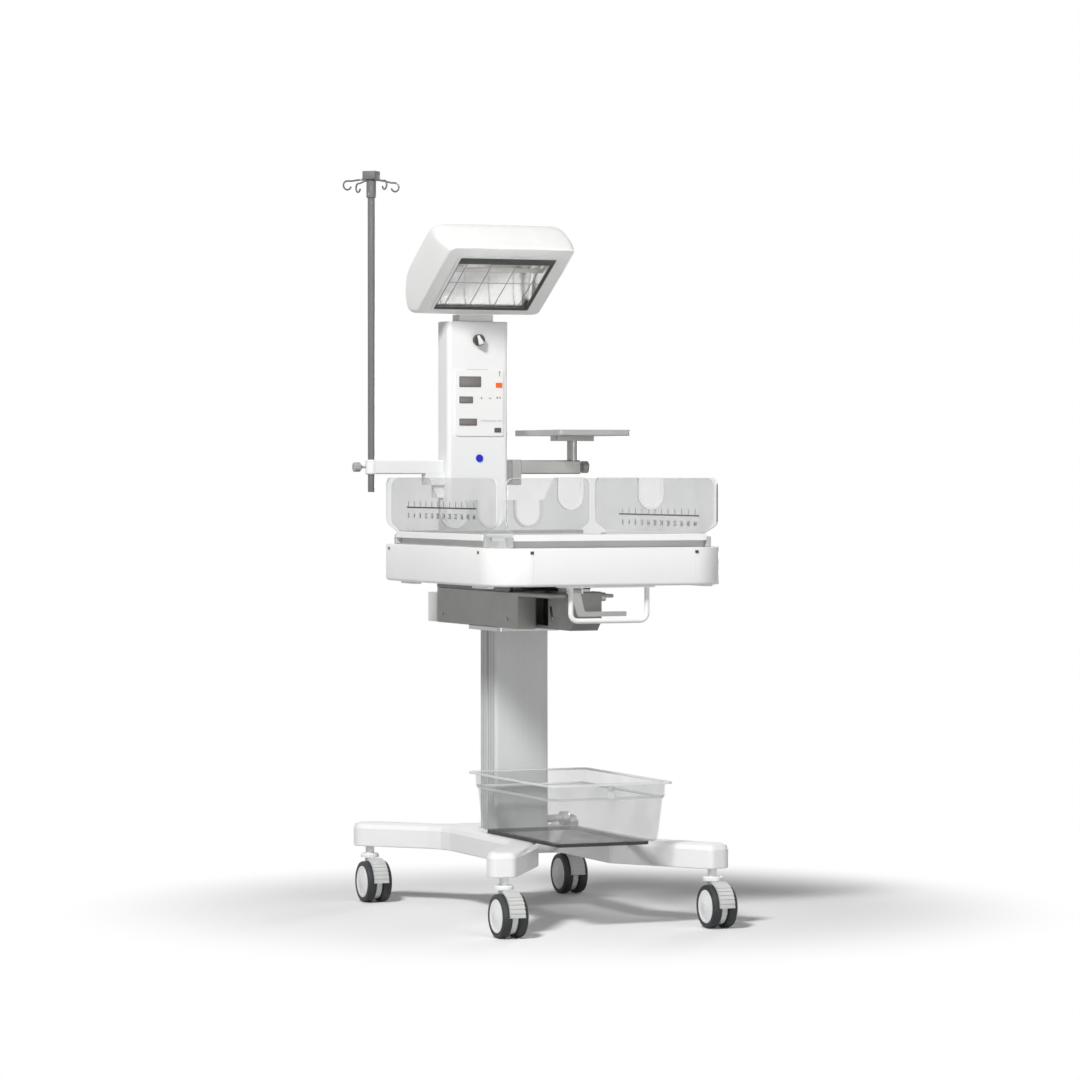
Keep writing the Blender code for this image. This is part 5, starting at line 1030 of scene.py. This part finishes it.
# %% Tray with its seams
tray_half_x, tray_half_y, tray_y, tray_corner = 0.3215, 0.40225, -0.063, 0.098
tray_low, tray_high, tray_wall, tray_edge = 0.8514, 0.9453, 0.003, 0.008
mouth = (0.281, 0.3665, 0.060, 0.0)


def tray_ring(height, inset=0.0):
    """One ring round the tray, drawn in from its widest outline."""
    return (height, tray_half_x - inset, tray_half_y - inset, tray_corner - inset, 0.0)


round_steps = [pi / 2 * step / 4 for step in range(5)]
tray_rings = [tray_ring(tray_low + tray_edge * (1 - cos(angle)), tray_edge * (1 - sin(angle)))
              for angle in round_steps]
tray_rings += [
    tray_ring(tray_high - 0.0030), tray_ring(tray_high - 0.0010, 0.0006),
    tray_ring(tray_high, 0.0024), (tray_high, *mouth), (tray_high - tray_wall, *mouth),
    tray_ring(tray_high - tray_wall, tray_wall), tray_ring(tray_low + tray_edge, tray_wall),
    (tray_low + tray_wall, tray_half_x - tray_wall - tray_edge,
     tray_half_y - tray_wall - tray_edge, tray_corner - tray_edge, 0.0)]
tray = skin("tray_pan", tray_rings, steps=12)
tray_place = spot(0.0, tray_y, 0.0)
both_ends = [(side, end) for side in (-1, 1) for end in (-1, 1)]
seam_x, seam_y, seam_depth, seam_half, past_edge = 0.2171, 0.3245, 0.0012, 0.0008, 0.01
for side, end in both_ends:
    for x, y, half_x, half_y in (
            (side * seam_x, end * tray_half_y, seam_half, seam_depth),
            (side * tray_half_x, end * seam_y, seam_depth, seam_half)):
        carve(tray, block("seam", (x - half_x, y - half_y, tray_low - past_edge),
                          (x + half_x, y + half_y, tray_high + past_edge)))
fit(place_at(round_off(tray), tray_place), gloss_white, "bed", "bed_tray")

# %% Clips along the tray's top edge
clip_z, clip_half, clip_depth, clip_height = 0.9310, 0.0042, 0.0016, 0.0070
clip_x, clip_y = seam_x + 0.0045, 0.3010
clips = []
for x, y, half_x, half_y in (
        [(side * clip_x, end * tray_half_y, clip_half, clip_depth) for side, end in both_ends]
        + [(side * tray_half_x, end * clip_y, clip_depth, clip_half) for side, end in both_ends]):
    clip = block("clip", (x - half_x, y - half_y, clip_z),
                 (x + half_x, y + half_y, clip_z + clip_height))
    clips.append(round_off(clip, 0.0007, 2))
fit(place_at(join("tray_clips", *clips), tray_place), knob_dark, "bed")

# %% [markdown]
# ## Slide pads under the tray
# Four flat pads sit under the sides of the tray. Each is a small plate with round
# corners, set against the tray's underside, so its place is half a thickness below it.

# %% Slide pads
pad_thickness = 0.0056
slide_pads = [round_off(sheet_metal("pad", oblong(0.010, 0.050, 0.006, (side * 0.296, y)),
                                    pad_thickness, "XY",
                                    (0.0, 0.0, tray_low - pad_thickness / 2), 4), 0.0012, 2)
              for side in (-1, 1) for y in (-0.270, 0.210)]
fit(place_at(join("tray_pads", *slide_pads), tray_place), gloss_white, "bed")

# %% [markdown]
# ## Clear walls with pale edges
# Acrylic sheet looks different where it was sawn: the faces are clear, the edges are frosted
# and collect light, so their pale finish is frosting with a painted highlight. So each wall is
# taken from its CAD shape, its loose triangles are merged to clean faces, its rims are eased,
# and the rim faces get their own finish. The right wall's front end turns its light away from
# the foot of the bed and gets a dark finish: painted shade.

# %% Clear walls
flat_enough, rim_ease, face_on, end_on = radians(0.5), 0.0007, 0.97, 0.95


def clear_wall(side, body, facing, shaded_end=False):
    """A copy of a CAD sheet with clean faces and a frosted rim with painted highlight; facing is
    its thin axis.
    """
    wall = face_outwards(copy_of(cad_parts["panel_" + side], "wall_" + side), flat_enough)
    round_off(wall, rim_ease, 1, radians(60))
    coat(wall, acrylic, acrylic_frosted_highlight, acrylic_shaded_end)
    # Rim faces get the frosted finish with its painted highlight; the end turned from the light
    # gets painted shade.
    for face in wall.data.polygons:
        face.material_index = 0 if abs(face.normal[facing]) > face_on else 1
        if shaded_end and face.normal.y < -end_on:
            face.material_index = 2
    fit(wall, None, body, "panel_" + side)


clear_wall("left", "left_wall", 0)
clear_wall("right", "right_wall", 0, shaded_end=True)
clear_wall("front", "front_wall", 1)
clear_wall("back", "bed", 1)

# %% [markdown]
# ## Length scales on the side walls
# Each side wall carries a printed scale for measuring the infant: a line with a tick every
# four centimetres and a figure under it. Thin boxes make the line and the ticks, and text
# objects, turned into meshes, make the figures.

# %% Printed scales
mark_step, mark_count, ink, figure_drop = 0.04, 12, 0.0002, 0.0270


def printed_scale(name, body, face_x, y_start, y_end, line_z):
    """A scale on a wall; its figures face the left side of the bed."""
    def print_block(kind, y_low, y_high, z_low, z_high):
        """A thin printed bar on the wall's face."""
        return block(kind, (face_x - ink, y_low, z_low), (face_x + ink, y_high, z_high))

    parts = [print_block("line", y_end, y_start, line_z - 0.0019, line_z + 0.0019)]
    upright = Matrix.Rotation(-pi / 2, 4, "Z") @ Matrix.Rotation(pi / 2, 4, "X")
    for index in range(mark_count):
        y = (y_start + y_end) / 2 - mark_step * (index - (mark_count - 1) / 2)
        parts.append(print_block("tick", y - 0.0011, y + 0.0011, line_z, line_z + 0.0160))
        clear_selection()
        bpy.ops.object.text_add()
        figure = bpy.context.object
        figure.data.body = str(4 * index)
        figure.data.size = 0.0190
        figure.data.align_x = "CENTER"
        figure.data.extrude = ink
        bpy.ops.object.convert(target="MESH")
        figure = bpy.context.object
        place_in(figure, Matrix.Translation((face_x, y, line_z - figure_drop)) @ upright)
        parts.append(figure)
    fit(place_at(join(name, *parts), middle), print_dark, body)


printed_scale("scale_left", "left_wall", -0.2995, 0.168, -0.296, 1.0405)
printed_scale("scale_right", "right_wall", 0.2938, 0.161, -0.325, 1.0210)

# %% [markdown]
# ## The control panel's windows and prints
# The panel shows three dark display windows, each with a darker rim, and round them fine
# divider lines and small key marks. All are prints on the film, so each is a thin plate.

# %% Displays and marks
film_front_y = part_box("control_panel")[0][1]
window_rim, print_depth = 0.0022, 0.0006
display_parts = []
for x, z, width, height in ((-0.0565, 1.3550, 0.062, 0.028), (-0.0565, 1.3120, 0.0388, 0.018),
                            (-0.0565, 1.2530, 0.0502, 0.0186)):
    centre = (x + width / 2, z + height / 2)
    rim = sheet_metal("rim", oblong(width / 2, height / 2, 0.0016, centre), print_depth, "XZ",
                      (middle[0], film_front_y - 0.0003, 0.0))
    glass = sheet_metal("glass", oblong(width / 2 - window_rim, height / 2 - window_rim, 0.0008,
                                        centre),
                        print_depth, "XZ", (middle[0], film_front_y - 0.0007, 0.0))
    display_parts += [coat(rim, display_frame), coat(round_off(glass, 0.0002, 2), display_glass)]
fit(join("display_windows", *display_parts), None, "lift")
key_marks = ((0.0052, 1.3235, 0.0034, 0.0052), (0.0290, 1.3240, 0.0052, 0.0030),
             (0.0500, 1.3250, 0.0046, 0.0046), (0.0585, 1.3250, 0.0030, 0.0046),
             (0.0560, 1.3935, 0.0050, 0.0012), (0.0580, 1.3840, 0.0016, 0.0140),
             (0.0050, 1.2655, 0.0440, 0.0010), (0.0530, 1.2655, 0.0130, 0.0010),
             (-0.0350, 1.4005, 0.0600, 0.0008))
marks = join("panel_prints", *[block("mark", (x, film_front_y - 0.0004, z),
                                     (x + width, film_front_y + 0.0002, z + height))
                               for x, z, width, height in key_marks])
fit(place_at(marks, (middle[0], 0.0, 0.0)), print_grey, "lift")

# %% [markdown]
# ## Lock knob and clamp knobs
# The hood's lock is a chrome knob, made as a dark disc with a pale raised pointer: the dark
# disc is a painted dark reflection and the pale pointer a painted bright reflection. The two
# clamp knobs at the arms' ends are fluted grips on a short neck. Each is grown ring by ring
# on a lathe shape; the grip's flutes are a few corners pulled in towards the middle.

# %% Hood lock
lock_centre, lock_radius, lock_share = spot(-0.002, 0.4133, 1.479), 0.0165, 0.91
shaft_radius, shaft_length, pointer_height = 0.0048, 0.030, 0.0085
lock_length = lock_centre[1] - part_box("hood_lock_knob")[0][1]
disc = lathe("lock_disc", [(-shaft_length, shaft_radius), (0.0006, shaft_radius),
                           (0.0006, 0.0150), (0.0020, lock_radius),
                           (lock_length - 0.0075, lock_radius), (lock_length - 0.0060, 0.0150),
                           (lock_length - 0.0066, 0.0120)], lock_centre, "-Y", 40)
pointer = sheet_metal("lock_pointer", [(-0.0098, -0.0128, 0.002), (0.0066, -0.0136, 0.002),
                                       (0.0016, 0.0150, 0.0012), (-0.0036, 0.0146, 0.0012)],
                      pointer_height, "XZ",
                      lock_centre + Vector((0.0, -lock_length + 0.0046, 0.0)), 3)
turn_about(round_off(pointer, 0.0009, 3), lock_centre, Matrix.Rotation(radians(-24), 4, "Y"))
# The dark disc and pale pointer paint a chrome knob's dark and bright reflections.
lock = join("hood_lock", coat(round_off(disc), lock_reflection_dark), coat(pointer, lock_reflection_pale))
turn_about(lock, lock_centre, Matrix.Diagonal((lock_share, 1.0, lock_share, 1.0)))
fit(lock, None, "hood_lock", "hood_lock_knob")

# %% Clamp knobs
grip_head, neck_radius, flutes, flute_depth = 0.0185, 0.0032, 8, 0.075


def grip(name, node, body, axis, radius):
    """A fluted grip over a CAD knob's box, with its neck and screw."""
    low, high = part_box(node)
    length = high[0] - low[0]
    start = Vector((low[0] if axis == "X" else high[0], (low[1] + high[1]) / 2,
                    (low[2] + high[2]) / 2))
    neck = length - grip_head
    piece = lathe(name, [(0.0, neck_radius), (neck - 0.0045, neck_radius),
                         (neck - 0.0045, radius * 0.5), (neck, radius * 0.5),
                         (neck, radius - 0.0018), (neck + 0.0016, radius),
                         (length - 0.0026, radius), (length - 0.0008, radius - 0.0016),
                         (length, radius - 0.0040), (length - 0.0010, radius * 0.45),
                         (length - 0.0010, radius * 0.2)], start, axis)
    centre = Vector((0.0, start.y, start.z))
    for vert in piece.data.vertices:
        away = Vector((0.0, vert.co.y, vert.co.z)) - centre
        if away.length > radius * 0.8:
            wave = max(0.0, cos(flutes * atan2(away.y, away.z))) ** 2
            vert.co.yz = (centre + away * (1 - flute_depth * wave)).yz
    fit(round_off(piece), knob_grey, body, node)


grip("pole_grip", "pole_knob", "pole_clamp", "-X", 0.0130)
grip("shelf_grip", "shelf_knob", "shelf_clamp", "X", 0.0165)

# %% [markdown]
# ## Drip pole
# A slim steel pole with a square-shouldered head and four wire hooks. The pole is one
# lathe shape; a hook is a bent wire drawn once and turned three more times by a quarter.

# %% Pole with its hooks
pole_at, pole_radius, collar_radius = spot(-0.288, 0.4523, 0.0), 0.0095, 0.0128
foot_z, top_z, head_top_z, head_half = 1.078, 1.897, 1.919, 0.0185
pole = lathe("pole_tube", [(foot_z, 0.0085), (foot_z + 0.001, pole_radius),
                           (top_z - 0.048, pole_radius), (top_z - 0.047, collar_radius),
                           (top_z - 0.001, collar_radius), (top_z, 0.0120),
                           (top_z + 0.001, 0.0120)], pole_at, "Z", 32)
head = sheet_metal("pole_head", oblong(head_half, head_half, 0.004), head_top_z - top_z, "XY",
                   pole_at + Vector((0.0, 0.0, (head_top_z + top_z) / 2)), 4)
turn_about(head, pole_at, Matrix.Rotation(pi / 4, 4, "Z"))
hook_reach, hook_radius, curl, hook_z = 0.083, 0.0024, 0.0115, top_z - 0.006
hook_path = [(0.006, 0.0, hook_z + 0.006), (0.020, 0.0, hook_z + 0.0055),
             (0.040, 0.0, hook_z + 0.0035), (hook_reach - 2 * curl, 0.0, hook_z)]
for step in range(11):
    angle = pi / 2 - (pi + radians(75)) * step / 10
    hook_path.append((hook_reach - curl + curl * cos(angle), 0.0,
                      hook_z - curl + curl * sin(angle)))
first_hook, hook_turn = bent_tube("hook", hook_path, hook_radius), radians(8)
hooks = [first_hook] + [copy_of(first_hook, "hook") for quarter in range(3)]
for quarter, hook in enumerate(hooks):
    place_in(hook, Matrix.Translation(pole_at)
             @ Matrix.Rotation(quarter * pi / 2 + hook_turn, 4, "Z"))
pole = join("drip_stand", round_off(pole), round_off(head, 0.0012, 3), *hooks)
fit(pole, pole_steel, "pole", "drip_pole")

# %% [markdown]
# ## The housing's rear cap
# A moulded end cap closes the folded housing behind, from the housing's underside up to
# the height of its CAD solid. It is a thick plate cut with two large round corners at the
# back, softened on its edges.

# %% Rear cap
cap_low, cap_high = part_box("housing_rear_cap")
cap_inset, cap_corner, cap_front_corner = 0.0008, 0.020, 0.001
cap_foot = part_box("support_housing")[0].z + cap_inset
cap = sheet_metal("rear_cap", [(cap_low.x, cap_low.y, cap_front_corner),
                               (cap_high.x, cap_low.y, cap_front_corner),
                               (cap_high.x, cap_high.y, cap_corner),
                               (cap_low.x, cap_high.y, cap_corner)],
                  cap_high.z - cap_foot, "XY", (0.0, 0.0, (cap_foot + cap_high.z) / 2), 8)
fit(round_off(cap, 0.005, 4), powder_white, "lift", "housing_rear_cap")
print("rear cap", [round(value, 4) for value in cap.dimensions])

# %% [markdown]
# ## Bolts and small fasteners
# Screw heads are small but a machine looks unfinished without them. One socket screw is
# grown ring by ring, its socket sunk in by one more extrusion, and copied to the housing,
# its rear cap and the back of the column.

# %% One socket screw
socket_radius, head_height, socket_depth, socket_taper = 0.0045, 0.0037, 0.0020, 0.94
screw = lathe("screw_pattern", [(0.0, 0.0044), (0.0, 0.0052), (0.0004, 0.0056), (0.0030, 0.0056),
                                (head_height, 0.0050), (head_height, 0.0031)], sides=24)
pick(screw, "FACE", lambda centre, normal: normal.z > 0.9 and centre.length < socket_radius
     and centre.z > head_height - 0.0001)
pull(-socket_depth)
bpy.ops.transform.resize(value=(socket_taper, socket_taper, 1.0),
                         center_override=(0.0, 0.0, head_height - socket_depth))
coat(round_off(screw), steel)
print("one screw", len(screw.data.polygons), "faces")

# %% Screws on the housing, its cap and the column
facing_turn = {"-X": (-pi / 2, "Y"), "X": (pi / 2, "Y"), "Y": (-pi / 2, "X")}


def screws(name, places, facing, scale):
    """Copies of the screw at places, their heads looking along an axis."""
    angle, axis = facing_turn[facing]
    turn = Matrix.Rotation(angle, 4, axis) @ Matrix.Scale(scale, 4)
    parts = [place_in(copy_of(screw, "screw"), Matrix.Translation(spot(*place)) @ turn)
             for place in places]
    fit(join(name, *parts), None, "lift")


housing_side_x, housing_screw_z, cap_back_y, column_back_y = 0.0880, 0.7560, 0.5674, 0.4913
for word, facing, side in (("left", "-X", -1), ("right", "X", 1)):
    screws("housing_screws_" + word,
           [(side * housing_side_x, y, housing_screw_z) for y in (0.010, 0.450)], facing, 0.8)
screws("cap_screw", [(x, cap_back_y, 0.7840) for x in (0.060, -0.060)], "Y", 0.7)
screws("back_screws", [(x, column_back_y, z) for x in (-0.066, 0.066)
                       for z in (0.905, 1.130, 1.470)], "Y", 0.7)
bpy.data.objects.remove(screw, do_unlink=True)

# %% [markdown]
# ## Floor, backdrop and light
# The photograph is a cut-out on white with a soft shadow on a pale floor. The floor is
# white paper near the object, so it takes the shadow, and fades to pure white further out
# by distance. Only rays from the camera, or seen in gloss and through clear plastic, get
# that white, so it adds no light of its own. What the floor throws back up is a little
# dimmer than paper, as on a large grey studio floor, so the undersides keep their shade.

# %% Backdrop
scene = bpy.context.scene
world = bpy.data.worlds.new("studio")
scene.world = world
world.use_nodes = True
world_nodes = world.node_tree.nodes
world_links = world.node_tree.links
world_nodes.clear()


def seen_directly(nodes, links):
    """1 where a ray comes from the camera, from gloss or through a clear sheet."""
    path = nodes.new("ShaderNodeLightPath")
    total = path.outputs["Is Camera Ray"]
    for output in ("Is Glossy Ray", "Is Transmission Ray"):
        either = nodes.new("ShaderNodeMath")
        either.operation = "MAXIMUM"
        links.new(total, either.inputs[0])
        links.new(path.outputs[output], either.inputs[1])
        total = either.outputs[0]
    return total


ambient_strength, white_strength = 0.11, 1.0
pure_white = (1.0, 1.0, 1.0, 1.0)


def background(strength):
    """Even white light of a given strength."""
    node = world_nodes.new("ShaderNodeBackground")
    node.inputs["Color"].default_value = pure_white
    node.inputs["Strength"].default_value = strength
    return node.outputs[0]


world_mix = world_nodes.new("ShaderNodeMixShader")
world_out = world_nodes.new("ShaderNodeOutputWorld")
world_links.new(seen_directly(world_nodes, world_links), world_mix.inputs[0])
world_links.new(background(ambient_strength), world_mix.inputs[1])
world_links.new(background(white_strength), world_mix.inputs[2])
world_links.new(world_mix.outputs[0], world_out.inputs["Surface"])
print("backdrop made")

# %% Floor
floor_radius, bounce_share, shadow_centre = 40.0, 0.52, (0.10, 0.05, 0.0)
clear_selection()
bpy.ops.mesh.primitive_circle_add(vertices=128, radius=floor_radius, fill_type="NGON")
floor = bpy.context.object
floor.name = "floor"
paper = Coat("studio_paper", (0.97, 0.97, 0.97, 1.0), 0.95)
from_shadow = paper.add("ShaderNodeVectorMath", {"operation": "SUBTRACT"},
                        {0: paper.place(), 1: shadow_centre}, "Vector")
away = paper.add("ShaderNodeVectorMath", {"operation": "LENGTH"}, {0: from_shadow}, "Value")
seen = Signal(paper, seen_directly(paper.tree.nodes, paper.tree.links))
dim = paper.add("ShaderNodeBsdfDiffuse", None, {"Color": (bounce_share,) * 3 + (1.0,)})
near_paper = paper.add("ShaderNodeMixShader", None,
                       {0: seen, 1: dim, 2: Signal(paper, paper.shader.outputs[0])})
glow = paper.add("ShaderNodeEmission", None, {"Color": pure_white, "Strength": white_strength})
whole = paper.add("ShaderNodeMixShader", None,
                  {0: paper.between(away, 0.64, 1.34) * seen, 1: near_paper, 2: glow})
paper.plug(paper.tree.nodes["Material Output"].inputs["Surface"], whole)
coat(floor, paper.material)
print("floor made")

# %% [markdown]
# ## Lamps
# The shadows in the picture tell where its lamps are. The bed's shadow crosses the column
# on a slant, so the key lamp stands high on the left; a wide, low lamp in front lights the
# upright faces without brightening the floor, and a weak one higher up rounds the corners.
# A narrow beam from low in front reaches the rim of the hood, which leans away from all
# the others, and another at the height of the bed keeps the back and the right side from
# going grey without touching the floor.

# %% Lamps
def lamp(name, place, aim, size, power, spread=180.0):
    """A square soft lamp at a place, facing a point."""
    clear_selection()
    bpy.ops.object.light_add(type="AREA", location=place)
    light = bpy.context.object
    light.name = name
    light.data.size = size
    light.data.energy = power
    light.data.spread = radians(spread)
    light.rotation_mode = "QUATERNION"
    light.rotation_quaternion = (Vector(aim) - Vector(place)).to_track_quat("-Z", "Y")


lamp("left_key", (-4.3, -3.9, 5.6), (0.0, 0.0, 0.7), 1.2, 502)
lamp("front_fill", (0.6, -5.5, 0.8), (0.0, 0.0, 0.9), 1.6, 40)
lamp("front_high", (2.2, -4.6, 3.0), (0.0, 0.0, 0.9), 1.6, 15)
lamp("hood_low", (0.5, -4.3, 0.3), (0.0, -0.3, 1.76), 0.4, 0.45, spread=10.0)
lamp("back_right_fill", (3.9, 3.9, 1.1), (0.0, 0.0, 1.05), 1.0, 6.0, spread=28.0)
print("lamps made")
